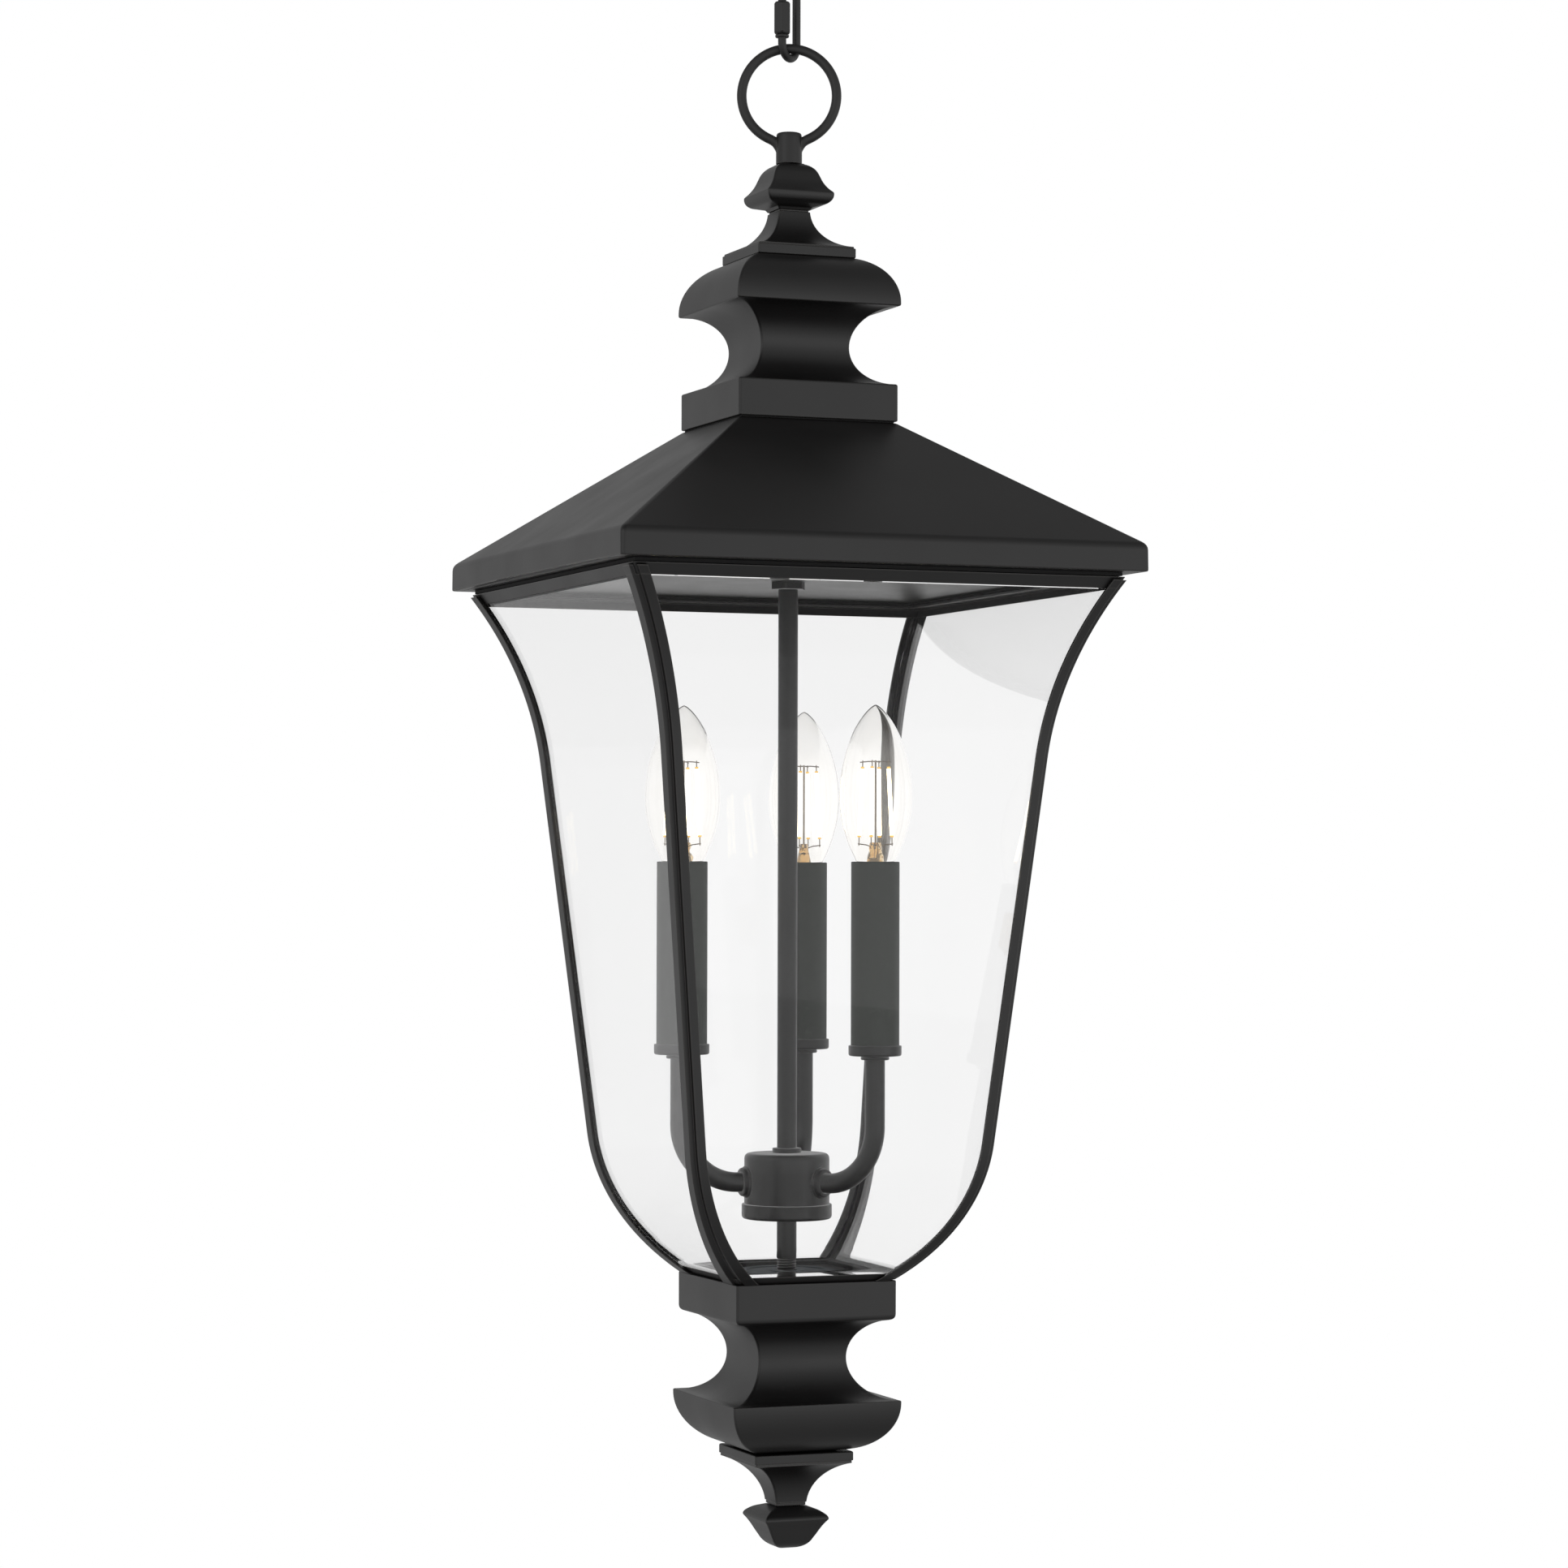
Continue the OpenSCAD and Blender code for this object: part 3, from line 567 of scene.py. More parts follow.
# Where the wire nears the neck it bends down along it and thins, which leaves a fillet in the corner
dive = np.array([(7.6, -21.9), (6.4, -22.9), (5.4, -24.4), (4.7, -26.2), (4.4, -28.0)]) + (0, ring_mid)
path = np.vstack([dive[::-1], path, dive * (-1, 1)])
thin = np.array([RING_WIRE, 2.3, 2.2, 1.95, 1.7])
wire_r = np.concatenate([thin[::-1], np.full(RING_STEPS, RING_WIRE), thin])
z_neck = z_cap + 15.5
neck = eased(
    [
        (WIRE_BORE, z_neck - 0.3, 0.3),
        (5.9, z_neck - 0.2, 1.6),
        (6.3, z_neck - 2.6, 1.6),
        (6.3, low("loop"), 0.3),
        (BORE_FIXED, low("loop"), 0.2),
        (BORE_FIXED, z_cap + 8, 0),
        (WIRE_BORE, z_cap + 8, 0),
    ],
    5,
)
piece(
    "ring_and_neck",
    "lantern",
    rod_coat,
    [shell(moved(tube(path, wire_r, 24), RING_TURN), looped=False), shell(turned(neck))],
    ["loop"],
)

# ---- mouldings: rows are half width, height, corner radius, rounding ----


def fixed_bore(z):
    """Row of a moulding's end face at the bore that grips the stem."""
    return [(BORE_FIXED, z, BORE_FIXED, 0.15)]


def running_bore(z):
    """Row of a moulding's end face at the bore that clears the stem."""
    return [(BORE_RUNNING, z, BORE_RUNNING, 0.15)]


cap_rows = np.vstack(
    [
        fixed_bore(z_cap),
        [(5.6, z_cap, 0.8, 0.2)],
        bow(3.2, z_cap - 8.6, 8.7, 70, 22, 10),
        bow(27.4, z_cap - 2.7, 16, 202, 227, 8),
        [(17.1, z_cap - 15.1, 1.0, 0.4)],
        bow(12.4, z_cap - 15.9, 4.7, 0, -80, 10),
        [(9, z_cap - 21.6, 1.0, 0.5), (8.2, z_cap - 22.9, 1.0, 0.3)],
        fixed_bore(z_cap - 22.9),
    ]
)
collar_rows = np.vstack(
    [
        fixed_bore(high("top_collar")),
        [(7.5, high("top_collar"), 0.8, 0.15), (7.5, low("top_collar"), 0.8, 0.15)],
        fixed_bore(low("top_collar")),
    ]
)
cove_rows = np.vstack(
    [
        fixed_bore(z_cove),
        [(8.1, z_cove, 0.8, 0.3)],
        bow(plinth + 2.7, z_cove + 1.3, 19.7, 185, 260, 20),
        [
            (plinth - 0.6, z_plinth, 1.0, 0.2),
            (plinth, z_plinth, 1.0, 0.5),
            (plinth, z_plinth - PLINTH_T, 1.0, 0.8),
        ],
        fixed_bore(z_plinth - PLINTH_T),
    ]
)
bell_rows = np.vstack(
    [
        fixed_bore(z_bell),
        bow(block - 22, z_rim + 1.7, 23.2, 73, 2, 20, 1.1),
        [(block + 1.2, z_rim + 0.05, 1.1, 0.9)],
        bow(block + 0.9, z_rim - 18.8, 18.8, 97, 263, 40, 1.1),
        [(block, z_rim - 37.6, 1.3, 1.0), (block, z_block_foot, 1.3, 0.7)],
        fixed_bore(z_block_foot),
    ]
)
lower_bell_rows = np.vstack(
    [
        running_bore(z_base),
        [(block, z_base, 1.3, 0.6), (block, z_lower_block - 0.4, 1.4, 2.4)],
        bow(block + 1, z_lower_block - 19.6, 19.2, 108, 263, 40, 1.1),
        [(block + 2, z_lower_rim + 0.5, 1.1, 0.5), (block + 2, z_lower_rim - 0.7, 1.1, 0.5)],
        bow(block - 21.6, z_lower_rim - 0.6, 23.6, -4, -88, 24, 1.1),
        [(block - 21.6, z_lower_plinth, 1.0, 0.2)],
        running_bore(z_lower_plinth),
    ]
)
lower_cove_rows = np.vstack(
    [
        running_bore(high("lower_cove")),
        [
            (plinth, high("lower_cove"), 1.0, 0.9),
            (plinth, z_lower_cove, 1.0, 0.6),
            (plinth - 0.6, z_lower_cove, 1.0, 0.2),
        ],
        bow(plinth + 5.9, z_lower_collar - 2.5, 23.2, 106, 174, 20),
        [(7.8, z_lower_collar, 0.8, 0.2)],
        running_bore(z_lower_collar),
    ]
)
lower_collar_rows = np.vstack(
    [
        running_bore(high("lower_collar")),
        [(7.5, high("lower_collar"), 0.8, 0.3), (7.5, low("lower_collar"), 0.8, 0.3)],
        running_bore(low("lower_collar")),
    ]
)
foot_rows = np.vstack(
    [
        [(0, z_foot + 4, 0, 0), (BORE_RUNNING, z_foot + 4, BORE_RUNNING, 0)],
        running_bore(z_foot_cap),
        [
            (7.6, z_foot_cap, 0.8, 0.3),
            (12.4, z_foot_cap - 1.5, 1.1, 1.5),
            (15.4, z_foot_cap - 3.6, 1.1, 1.2),
            (16.2, z_foot_cap - 4.9, 1.1, 0.6),
            (16.2, z_foot_cap - 5.8, 1.1, 0.4),
            (14.6, z_foot_cap - 7.8, 1.1, 1.2),
            (13, z_foot_cap - 10.4, 1.1, 1.4),
            (11.7, z_foot_cap - 12.9, 1.1, 1.4),
        ],
        bow(2.4, z_foot + 8.7, 8.7, -25, -88, 12),
        [(2.4, z_foot, 1.0, 0.2), (0, z_foot, 0, 0)],
    ]
)
for name, body, rows, node, looped in (
    ("top_cap_casting", "lantern", cap_rows, "top_cap", True),
    ("top_collar_casting", "lantern", collar_rows, "top_collar", True),
    ("top_cove_casting", "lantern", cove_rows, "top_cove", True),
    ("top_bell_casting", "lantern", bell_rows, "top_bell", True),
    ("lower_bell_casting", "cage", lower_bell_rows, "lower_bell", True),
    ("lower_cove_casting", "cage", lower_cove_rows, "lower_cove", True),
    ("lower_collar_casting", "cage", lower_collar_rows, "lower_collar", True),
    ("finial_casting", "finial", foot_rows, "bottom_cap", False),
):
    piece(name, body, cast_coat, [shell(squared(eased(rows)), looped)], [node])

# ---- roof: slope, fascia and a lip under the eave ----

RELIEF = 0.42
roof_rows = np.vstack(
    [
        fixed_bore(z_roof),
        [
            (block - 0.9, z_roof, 1.2, 1.2),
            (eave, z_bend, 2.4, 2.6),
            (eave, z_eave, 1.9, 0.9),
            (eave - 4.0, z_eave, 1.5, 0),
            (eave - 4.1, z_eave, 1.5, 0),
            (eave - 12, z_eave, 1.0, 0.2),
            (eave - 12, z_eave + 1.2, 1.0, 0.2),
            (eave - 1.2, z_eave + 1.2, 1.0, 0.2),
            (eave - 1.2, z_bend - 0.37, 1.0, 0.5),
            (block - 0.53, z_roof - 1.2, 1.0, 0.5),
        ],
        fixed_bore(z_roof - 1.2),
    ]
)
roof = squared(eased(roof_rows), 6, (RELIEF + 0.001, RELIEF, -RELIEF, -RELIEF - 0.001))
# Shallow relief in the lower edge of the left fascia: its points are lifted to 0.9 mm above the eave
relief = (roof[..., 0] < 4.05 - eave) & (np.abs(roof[..., 1]) < eave * RELIEF + 0.05)
roof[..., 2] = np.where(relief & (roof[..., 2] < z_eave + 0.9), z_eave + 0.9, roof[..., 2])
piece("roof_sheet", "lantern", sheet_coat, [shell(roof)], ["roof"])

# ---- cage ----

rail_z = np.linspace(z_cage - 5.3, z_cage, 7)
rail_rows = np.vstack(
    [
        np.column_stack([cage_edge(1.9, rail_z), rail_z, np.full(7, 0.8), [0.3, 0, 0, 0, 0, 0, 0.5]]),
        [(eave - 20, z_cage, 0.8, 0.2), (eave - 20, z_cage - 1.2, 0.8, 0.2)],
        [(float(cage_edge(3.1, z_cage - 1.2)), z_cage - 1.2, 0.6, 0.2)],
        [(float(cage_edge(3.1, z_cage - 5.3)), z_cage - 5.3, 0.6, 0.2)],
    ]
)
piece("top_rail_angle", "cage", sheet_coat, [shell(squared(eased(rail_rows)))], ["top_rail"])

tray_rows = np.vstack(
    [
        running_bore(z_base + 1.5),
        [
            (block - 5.4, z_base + 1.5, 1.0, 0.6),
            (block - 5.4, z_base + 3.4, 1.0, 0.3),
            (float(cage_edge(1.9, z_base + 3.4)), z_base + 3.4, 0.8, 0.4),
            (float(cage_edge(1.9, z_base + SEAM)), z_base + SEAM, 0.8, 0.3),
        ],
        running_bore(z_base + SEAM),
    ]
)
piece("base_tray_pan", "cage", pan_coat, [shell(squared(eased(tray_rows)))], ["base_tray"])

disc_rows = eased(
    [
        (BORE_RUNNING, z_base + 1.6, 0.1),
        (23, z_base + 1.6, 0.3),
        (23, z_base + 3.1, 0.5),
        (19.5, z_base + 3.1, 0.6),
        (18.5, z_base + 2.6, 0.6),
        (8.5, z_base + 2.6, 0.6),
        (7.8, z_base + 3.1, 0.6),
        (BORE_RUNNING, z_base + 3.1, 0.1),
    ]
)
piece("base_disc_pressing", "cage", zinc, [shell(turned(disc_rows, 96))], ["base_disc"])


def swept_section(section, heights, side_x, side_y):
    """A corner section carried up the cage: a point set in by (a, b) is (edge(a, z), edge(b, z), z)."""
    z = heights[:, None]
    x, y = side_x * cage_edge(section[:, 0], z), side_y * cage_edge(section[:, 1], z)
    return np.stack([x, y, z + 0 * x], -1)


bar_section = eased(
    [
        (NOTCH, 0, 0.4),
        (LEG_FRONT, 0, 0.4),
        (LEG_FRONT, FLANGE, 0.3),
        (WEB, FLANGE, 0.2),
        (WEB, WEB, 0.3),
        (FLANGE, WEB, 0.2),
        (FLANGE, LEG_SIDE, 0.3),
        (0, LEG_SIDE, 0.4),
        (0, NOTCH, 0.4),
        (NOTCH, NOTCH, 0.2),
    ],
    3,
)
front_flange = eased([(NOTCH, 0, 0.4), (LEG_FRONT, 0, 0.4), (LEG_FRONT, FLANGE, 0.3), (NOTCH, FLANGE, 0.2)], 3)
side_flange = eased([(0, NOTCH, 0.4), (FLANGE, NOTCH, 0.2), (FLANGE, LEG_SIDE, 0.3), (0, LEG_SIDE, 0.4)], 3)
z_web_foot, z_web_top = z_base + 3.5, z_cage - 5.4
for number, (side_x, side_y) in enumerate(((1, 1), (-1, 1), (-1, -1), (1, -1)), 1):
    runs = [(bar_section, np.linspace(z_web_foot, z_web_top, 110))]
    for flange in (front_flange, side_flange):
        runs.append((flange, np.linspace(z_base + SEAM, z_web_foot, 4)))
        runs.append((flange, np.linspace(z_web_top, z_cage - 1.5, 4)))
    parts = [shell(swept_section(section, z, side_x, side_y), looped=False) for section, z in runs]
    piece(f"corner_bar_{number}", "cage", sheet_coat, parts, [f"bar_{number}"])


def bent_pane(turn):
    """A pane that follows the cage's curve: at height z it spans the edge set in by 4.9, 1.9 to 3.9 mm deep."""
    z = np.linspace(z_base + 3.6, z_cage - 5.4, 110)[:, None]
    across, front, back = cage_edge(4.9, z), cage_edge(1.9, z), cage_edge(3.9, z)
    c = 0.4
    x = np.hstack([c - across, across - c, across, across, across - c, c - across, -across, -across])
    y = np.hstack([front, front, front - c, back + c, back, back, back + c, front - c])
    return moved(np.stack([x, y, z + 0 * x], -1), turn)


def light_passes(made):
    """Keeps a clear piece from casting a shadow, as clear glass lets the light through."""
    made.visible_shadow = False
    made.visible_diffuse = False
    return made


for side, turn in (("front", 180), ("back", 0), ("left", 90), ("right", -90)):
    light_passes(
        piece(
            f"pane_{side}",
            "cage",
            pane_glass,
            [shell(bent_pane(turn), looped=False)],
            [f"glass_{side}"],
        )
    )

# ---- stems ----

z_stem_top, z_upper_end = high("upper_stem"), low("upper_stem")
upper = eased(
    [
        (WIRE_BORE, z_stem_top, 0.1),
        (STEM_R, z_stem_top, 0.4),
        (STEM_R, z_upper_end, 0.4),
        (WIRE_BORE, z_upper_end, 0.1),
    ]
)
piece("upper_stem_tube", "lantern", sheet_coat, [shell(turned(upper, 48))], ["upper_stem"])

# Threaded foot: the radius falls by up to the thread's depth along a helix, from just above the tray down
THREAD_PITCH, THREAD_DEPTH = 1.25, 0.55
z_lower_end, z_lower_start = low("lower_stem"), high("lower_stem")
z_thread = z_base + 9.0
plain = np.linspace(z_lower_start - 0.4, z_thread, 6)
thread = np.linspace(z_thread, z_lower_end + 0.4, 620)
z = np.concatenate(
    [[z_lower_start, z_lower_start], plain, thread[1:], [z_lower_end, z_lower_end, z_lower_start]]
)
r = np.concatenate(
    [
        [WIRE_BORE, STEM_R - 0.4],
        np.full(6, STEM_R),
        np.full(619, STEM_R),
        [STEM_R - 0.5, WIRE_BORE, WIRE_BORE],
    ]
)
stem = turned(np.column_stack([r, z])[:-1], 40)
v = np.arange(40) / 40
phase = (stem[..., 2] / THREAD_PITCH - v) % 1.0
groove = THREAD_DEPTH * (1 - np.abs(2 * phase - 1)) * np.clip((z_thread - stem[..., 2]) / 0.6, 0, 1)
groove *= np.hypot(stem[..., 0], stem[..., 1]) > STEM_R - 0.1
stem[..., :2] *= (1 - groove / np.hypot(stem[..., 0], stem[..., 1]))[..., None]
piece(
    "lower_stem_threaded", "lantern", sheet_coat, [shell(stem)], ["lower_stem"], weighted=False
)

# ---- hub, arms, cups and sleeves ----

hub_rows = eased(
    [
        (BORE_FIXED, z_hub_top, 0.2),
        (hub_r, z_hub_top, 3.0),
        (hub_r, z_hub_seam, 0.3),
        (hub_r - 2.5, z_hub_seam, 0.2),
        (hub_r - 2.5, z_hub_top - 3, 0.5),
        (BORE_FIXED, z_hub_top - 3, 0.2),
    ],
    8,
)
piece("hub_body_casting", "lantern", cast_coat, [shell(turned(hub_rows, 96))], ["hub_body"])
cover_r = half("hub_cover")
cover_rows = eased(
    [
        (BORE_FIXED, z_hub_foot, 0.2),
        (cover_r, z_hub_foot, 2.0),
        (cover_r, high("hub_cover"), 0.5),
        (hub_r - 2.5, high("hub_cover"), 0.2),
        (hub_r - 2.5, z_hub_foot + 2, 0.5),
        (BORE_FIXED, z_hub_foot + 2, 0.2),
    ],
    8,
)
piece("hub_cover_casting", "lantern", cast_coat, [shell(turned(cover_rows, 96))], ["hub_cover"])
washers = [
    shell(turned(eased([(BORE_FIXED, z0, 0.1), (7, z0, 0.5), (7, z1, 0.5), (BORE_FIXED, z1, 0.1)]), 48))
    for z0, z1 in ((z_hub_top + SEAM, z_hub_top + 2.4), (z_hub_foot - 1.1, z_hub_foot - SEAM))
]
piece("hub_washers_turned", "lantern", sheet_coat, washers, ["hub_washers"])

ARM_BEND = 28.0
t = np.radians(np.linspace(-90, 0, 33))
arm_path = np.vstack(
    [
        [[hub_r - 3.8, 0], [hub_r + 1, 0]],
        np.column_stack([arm_out - ARM_BEND + ARM_BEND * np.cos(t), ARM_BEND + ARM_BEND * np.sin(t)]),
        [[arm_out, ARM_BEND + 12], [arm_out, ARM_BEND + 24], [arm_out, z_cup - z_arm + 1.4]],
    ]
)
arm_wall = np.vstack([tube(arm_path, arm_r, 32), tube(arm_path, arm_r - 1.2, 32)[::-1]])
collar_profile = eased(
    [
        (arm_r + 0.1, hub_r + 0.25, 0.1),
        (arm_r + 2.9, hub_r + 0.25, 0.4),
        (arm_r + 2.9, hub_r + 1.0, 0.4),
        (arm_r + 2.2, hub_r + 1.4, 0.3),
        (arm_r + 2.0, hub_r + 3.2, 1.3),
        (arm_r + 0.1, hub_r + 3.5, 0.2),
    ]
)
collar = turned(collar_profile, 40)[..., [2, 1, 0]]
washer_profile = eased(
    [
        (arm_r + 0.1, z_cup - 1.9, 0.1),
        (6.6, z_cup - 1.9, 0.6),
        (6.85, z_cup - 0.9, 0.3),
        (6.3, z_cup - SEAM, 0.3),
        (arm_r + 0.1, z_cup - SEAM, 0.1),
    ]
)
cup_r = sleeve_r + 1.1
cup_profile = eased(
    [
        (arm_r + 0.1, z_cup, 0.1),
        (cup_r, z_cup, 1.3),
        (cup_r, z_cup + 5, 0.35),
        (sleeve_r + 0.1, z_cup + 5, 0.2),
        (sleeve_r + 0.1, z_cup + 2.5, 0.2),
        (arm_r + 0.1, z_cup + 2.5, 0.1),
    ]
)
sleeve_profile = eased(
    [
        (sleeve_r, z_sleeve, 0.3),
        (sleeve_r, z_mouth, 0.5),
        (sleeve_r - 1.1, z_mouth, 0.35),
        (sleeve_r - 1.1, z_sleeve, 0.3),
    ]
)
for number, turn in ARM_TURNS.items():
    piece(
        f"arm_tube_{number}",
        "lantern",
        sheet_coat,
        [shell(moved(arm_wall, turn, 0, z_arm))],
        [f"arm_{number}"],
    )
    piece(
        f"candle_cup_{number}",
        "lantern",
        cast_coat,
        [shell(moved(turned(cup_profile, 64), turn, arm_out))],
        [f"cup_{number}"],
    )
    piece(
        f"candle_sleeve_{number}",
        "lantern",
        sleeve_finish,
        [shell(moved(turned(sleeve_profile, 64), turn, arm_out))],
        [f"sleeve_{number}"],
    )
turns = ARM_TURNS.values()
piece(
    "arm_collars_turned",
    "lantern",
    sheet_coat,
    [shell(moved(collar, turn, 0, z_arm)) for turn in turns],
    ["arm_collars"],
)
piece(
    "cup_washers_turned",
    "lantern",
    sheet_coat,
    [shell(moved(turned(washer_profile, 48), turn, arm_out)) for turn in turns],
    ["cup_washers"],
)

# ---- lamps ----

LAMP_R, LAMP_TOP, GLASS_WALL = 17.5, z_tip - z_wide, 0.5


def lamp_outline(inset):
    """Envelope profile from tip to neck: above its widest R (1 - (z/top)^2)^0.72, below R (1 - (z/45.5)^2).

    Under the sleeve's mouth it runs on as a cone into the base.
    """
    t = np.linspace(math.pi / 2, 0, 44)
    top, radius = LAMP_TOP - inset, LAMP_R - inset
    upper = np.column_stack([radius * np.maximum(np.cos(t), 0) ** 1.44, z_wide + top * np.sin(t)])
    drop = np.linspace(0, z_wide - z_mouth, 24)[1:]
    lower = np.column_stack([LAMP_R * (1 - (drop / 45.5) ** 2) - inset, z_wide - drop])
    neck_z = np.linspace(z_mouth, z_mouth - 13.8, 6)[1:]
    neck_r = np.interp(neck_z, [z_mouth - 13.8, z_mouth], [6.4, lower[-1, 0] + inset]) - inset
    return np.vstack([upper, lower, np.column_stack([neck_r, neck_z])])


envelope = turned(np.vstack([lamp_outline(0), lamp_outline(GLASS_WALL)[::-1]]), 72)

# Pressed stem: an oval that flares downwards, with a lobed top where the wires leave it
z = z_mouth + np.linspace(9.2, -12, 30)
level = (z_mouth + 9.2 - z)[:, None]
v = np.arange(28) * 2 * math.pi / 28
width = 2.9 + 0.16 * level + 0.5 * np.sin(level * 1.1)
depth = np.minimum(1.7 + 0.2 * level, width)
press = turned(np.column_stack([np.ones(30), z]), 28)
press[..., 0] *= width * (1 + 0.08 * np.cos(4 * v + level))
press[..., 1] *= depth

# Light bars lean outwards to the foot; wires run from their ends to the centre wire and the stem
BAR_TURN = 53.0
BAR_TOP, BAR_FOOT = (6.4, z_wide + 13.2), (8.0, z_wide - 18.2)
bar_line = np.linspace(BAR_TOP, BAR_FOOT, 5)
resin_top = np.linspace((6.35, z_wide + 14.2), BAR_TOP, 3)
resin_foot = np.linspace(BAR_FOOT, (8.05, z_wide - 19.2), 3)
wires = [
    np.array([(6.3, z_wide + 17.2), (6.35, z_wide + 14.0)]),
    np.array([(7.6, z_wide + 16.3), (3.5, z_wide + 16.7), (0.2, z_wide + 16.6)]),
    np.array([(8.05, z_wide - 19.0), (8.1, z_wide - 23.2)]),
    np.array([(8.6, z_wide - 22.3), (4.5, z_wide - 22.8), (2.2, z_wide - 23.6), (1.6, z_mouth + 6)]),
]
centre_wire = np.array([(0, z_wide + 17.2), (0.12, z_wide), (0, z_mouth + 7)])

for number, turn in ARM_TURNS.items():
    lamp = f"lamp_{number}"
    light_passes(
        piece(
            f"{lamp}_envelope",
            lamp,
            lamp_glass,
            [shell(moved(envelope, turn, arm_out), looped=False)],
            [f"bulb_glass_{number}"],
            weighted=False,
        )
    )
    light_passes(
        piece(
            f"{lamp}_stem",
            lamp,
            stem_glass,
            [shell(moved(press, turn, arm_out), looped=False)],
            [f"bulb_mount_{number}"],
            weighted=False,
        )
    )
    at = [BAR_TURN - turn + 90 * k for k in range(4)]

    def stood(points, quarter):
        """A lamp part turned to its quarter about the lamp's own axis, then set on its candle."""
        return shell(moved(moved(points, quarter), turn, arm_out), looped=False)

    piece(
        f"{lamp}_light_bars",
        lamp,
        phosphor,
        [stood(tube(bar_line, 0.9, 16), q) for q in at],
        [f"filaments_{number}"],
        weighted=False,
    )
    piece(
        f"{lamp}_bar_ends",
        lamp,
        resin,
        [stood(tube(line, 0.85, 12), q) for q in at for line in (resin_top, resin_foot)],
        weighted=False,
    )
    piece(
        f"{lamp}_wires",
        lamp,
        lead_wire,
        [
            *[stood(tube(line, 0.26, 8), q) for q in at for line in wires],
            stood(tube(centre_wire, 0.42, 10), 0),
        ],
        weighted=False,
    )

# ---- CAD nodes that stay, with their real finishes ----

for node, material in (
    ("roof_seal", rubber),
    ("eave_gasket", rubber),
    ("ceiling_plate", sheet_coat),
    ("ceiling_nuts", sheet_coat),
    *[(f"socket_{n}", phenolic) for n in ARM_TURNS],
    *[(f"bulb_base_{n}", brass) for n in ARM_TURNS],
):
    kept = frame["nodes"][node]
    kept.data.materials.clear()
    kept.data.materials.append(material)

# Pieces inside the cage stay out of the panes' outer reflections, which would show them twice
INSIDE = ("arm_", "candle_", "cup_", "hub_", "upper_stem", "lower_stem", "socket_", "lamp_")
for made in bpy.data.objects:
    if made.name.startswith(INSIDE):
        made.visible_glossy = False
        made.visible_diffuse = not made.name.startswith("lamp_")

# ---- floor, light and camera ----

floor_finish = speckled("pale plaster floor", "#e9e8e6", "#f4f3f2", 9, 0.7, 0.6)
FLOOR_Z, FLOOR_R = -1900.0, 2600.0
floor_rows = [(0, FLOOR_Z), (FLOOR_R, FLOOR_Z), (FLOOR_R, FLOOR_Z - 20), (0, FLOOR_Z - 20)]
floor = bpy.data.objects.new("floor", shell(turned(floor_rows, 96), looped=False))
floor.data.materials.append(floor_finish)
bpy.context.scene.collection.objects.link(floor)
floor.visible_glossy = False

# White surroundings: full white where seen, or seen through glass, and softer where they light and reflect
world = bpy.data.worlds.new("studio")
bpy.context.scene.world = world
world.use_nodes = True
tree = world.node_tree
tree.nodes.clear()
ray = add(tree, "LightPath")
seen = add(
    tree,
    "Math",
    {0: ray.outputs["Is Camera Ray"], 1: ray.outputs["Is Transmission Ray"]},
    operation="MAXIMUM",
).outputs["Value"]
# The room itself is brightest level with the lantern and falls off to a dim ceiling and a dark floor
BACKDROP, ROOM, CEILING, CELLAR = 1.0, 0.82, 0.20, 0.30
towards = add(tree, "SeparateXYZ", {"Vector": add(tree, "TexCoord").outputs["Generated"]})
height = towards.outputs["Z"]
upper = add(
    tree,
    "MapRange",
    {"Value": height, "From Min": 0.1, "From Max": 1.0, "To Min": ROOM, "To Max": CEILING},
).outputs["Result"]
lower = add(
    tree,
    "MapRange",
    {"Value": height, "From Min": -1.0, "From Max": -0.1, "To Min": CELLAR, "To Max": ROOM},
).outputs["Result"]
level = add(tree, "Math", {0: upper, 1: lower}, operation="MINIMUM").outputs["Value"]
# The wall behind the lantern is dimmer than the one in front
facing = add(
    tree,
    "MapRange",
    {"Value": towards.outputs["Y"], "From Min": -1.0, "From Max": 1.0, "To Min": 1.18, "To Max": 0.72},
).outputs["Result"]
room = add(tree, "Math", {0: level, 1: facing}, operation="MULTIPLY").outputs["Value"]
strength = add(
    tree, "MapRange", {"Value": seen, "From Min": 0.0, "From Max": 1.0, "To Min": room, "To Max": BACKDROP}
).outputs["Result"]
background = add(tree, "Background", {"Color": (1.0, 1.0, 1.0, 1.0), "Strength": strength})
tree.links.new(background.outputs["Background"], add(tree, "OutputWorld").inputs["Surface"])

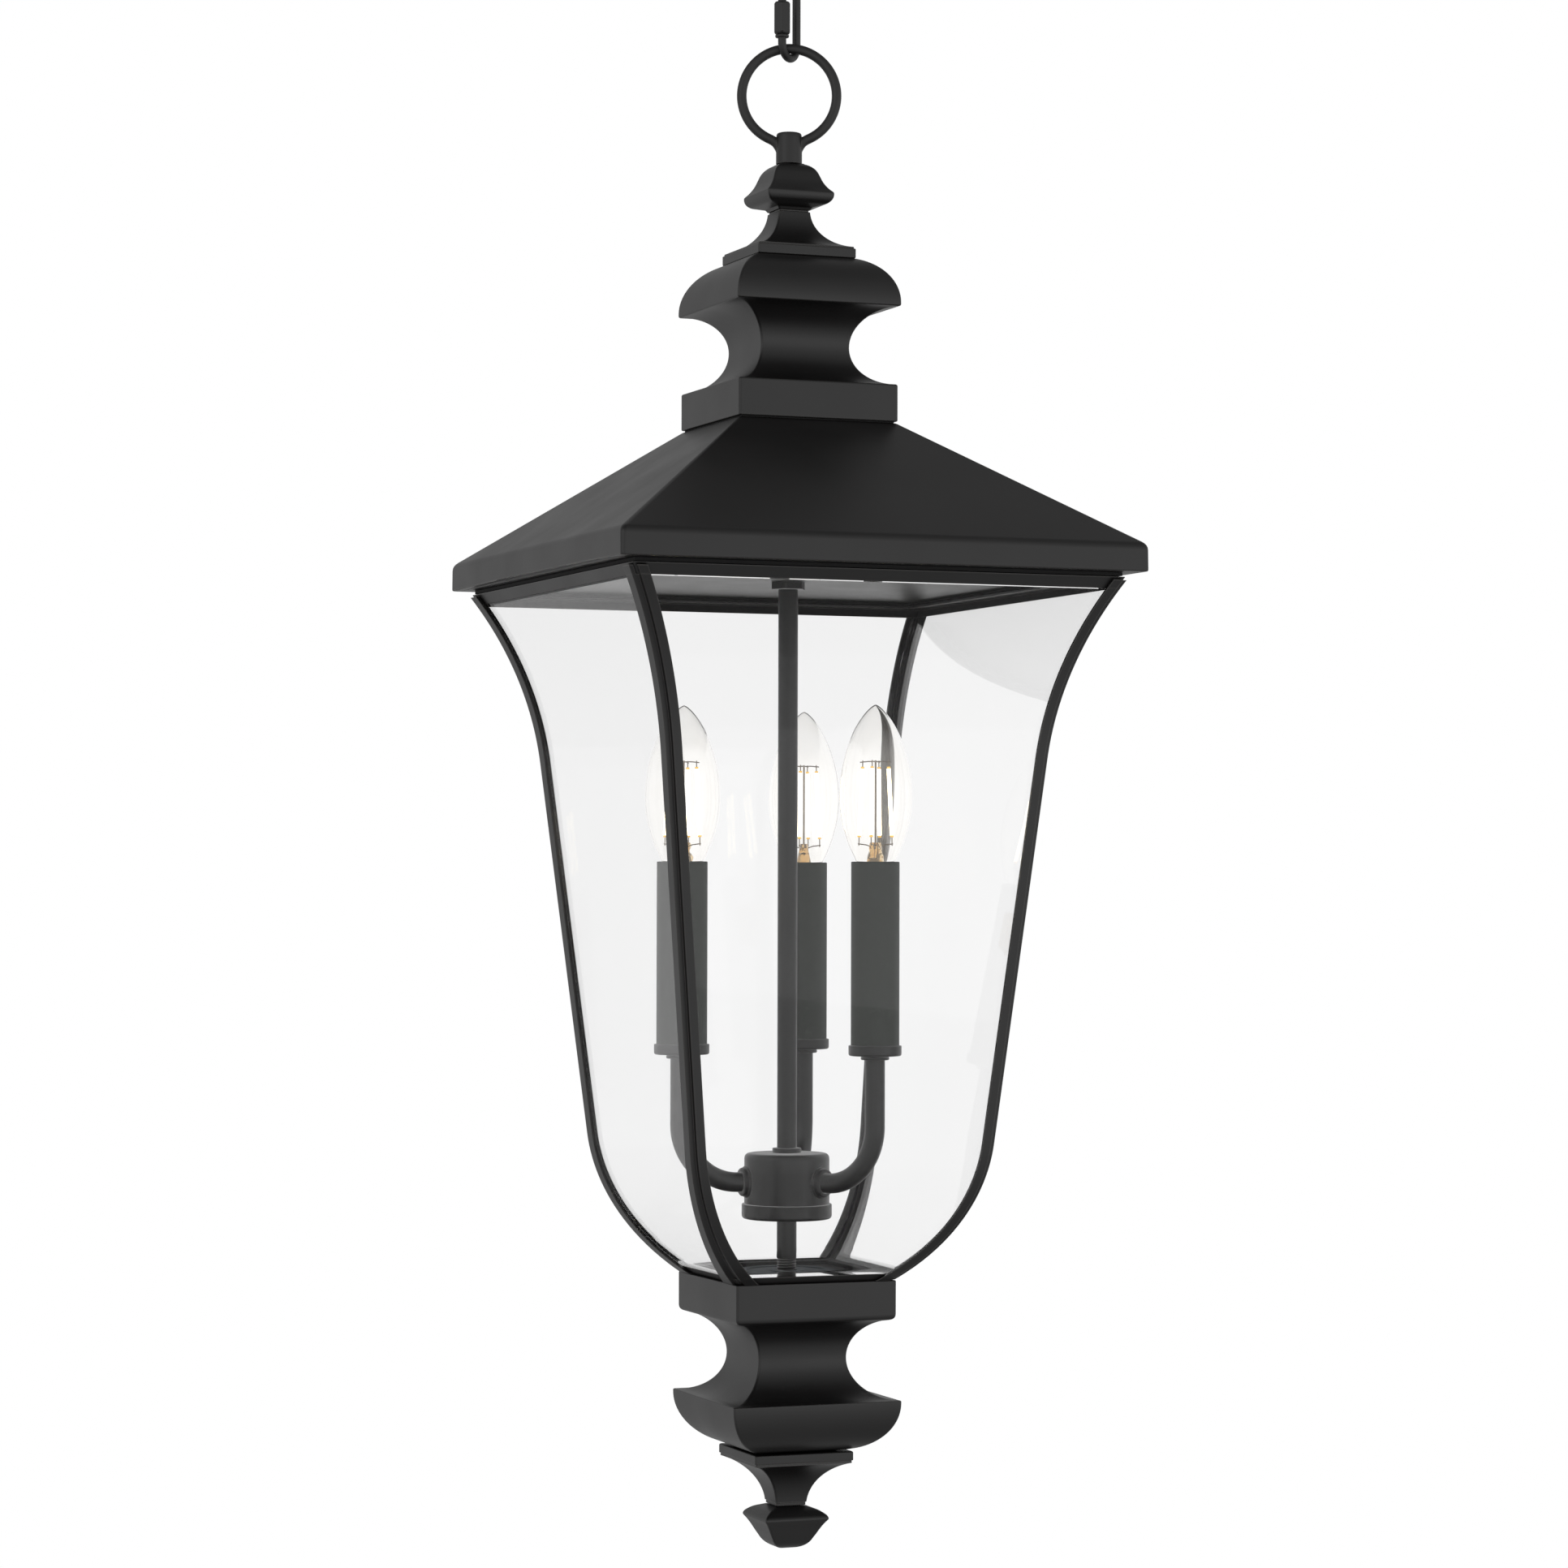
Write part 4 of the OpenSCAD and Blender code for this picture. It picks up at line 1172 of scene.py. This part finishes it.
TARGET = np.array([0.0, 0.0, -0.42])


def soft_box(name, place, size, power):
    """A square area light turned to the middle of the lantern, and not itself in view."""
    lamp = bpy.data.lights.new(name, "AREA")
    lamp.shape, lamp.size, lamp.energy = "SQUARE", size, power
    made = bpy.data.objects.new(name, lamp)
    back = np.array(place) - TARGET
    back /= np.linalg.norm(back)
    side = np.cross([0, 0, 1], back)
    side /= np.linalg.norm(side)
    turn = np.eye(4)
    turn[:3, 0], turn[:3, 1], turn[:3, 2], turn[:3, 3] = side, np.cross(back, side), back, place
    made.matrix_world = Matrix(turn.tolist())
    made.visible_camera = False
    bpy.context.scene.collection.objects.link(made)


soft_box("key from upper left", (-2.2, -1.0, 0.7), 1.6, 5)
soft_box("fill from front right", (1.4, -2.4, -0.4), 1.4, 3)

# Camera two metres out, a little left of the front face, tipped up by the lens's aim
CAMERA_TURN, CAMERA_TIP, CAMERA_ROLL = math.radians(-21.314), math.radians(1.353), math.radians(0.146)
CAMERA_PLACE = np.array([-0.7425, -1.8985, -0.4339])
right = np.array([math.cos(CAMERA_TURN), math.sin(CAMERA_TURN), 0])
ahead = np.array(
    [
        -math.sin(CAMERA_TURN) * math.cos(CAMERA_TIP),
        math.cos(CAMERA_TURN) * math.cos(CAMERA_TIP),
        math.sin(CAMERA_TIP),
    ]
)
above = np.cross(right, ahead)
right, above = (
    right * math.cos(CAMERA_ROLL) + above * math.sin(CAMERA_ROLL),
    above * math.cos(CAMERA_ROLL) - right * math.sin(CAMERA_ROLL),
)
lens = bpy.data.cameras.new("camera")
lens.sensor_width, lens.lens = 36.0, 97.07
lens.clip_start, lens.clip_end = 0.05, 50.0
camera = bpy.data.objects.new("camera", lens)
turn = np.eye(4)
turn[:3, 0], turn[:3, 1], turn[:3, 2], turn[:3, 3] = right, above, -ahead, CAMERA_PLACE
camera.matrix_world = Matrix(turn.tolist())
bpy.context.scene.collection.objects.link(camera)
bpy.context.scene.camera = camera
bpy.context.scene.view_settings.view_transform = "Standard"
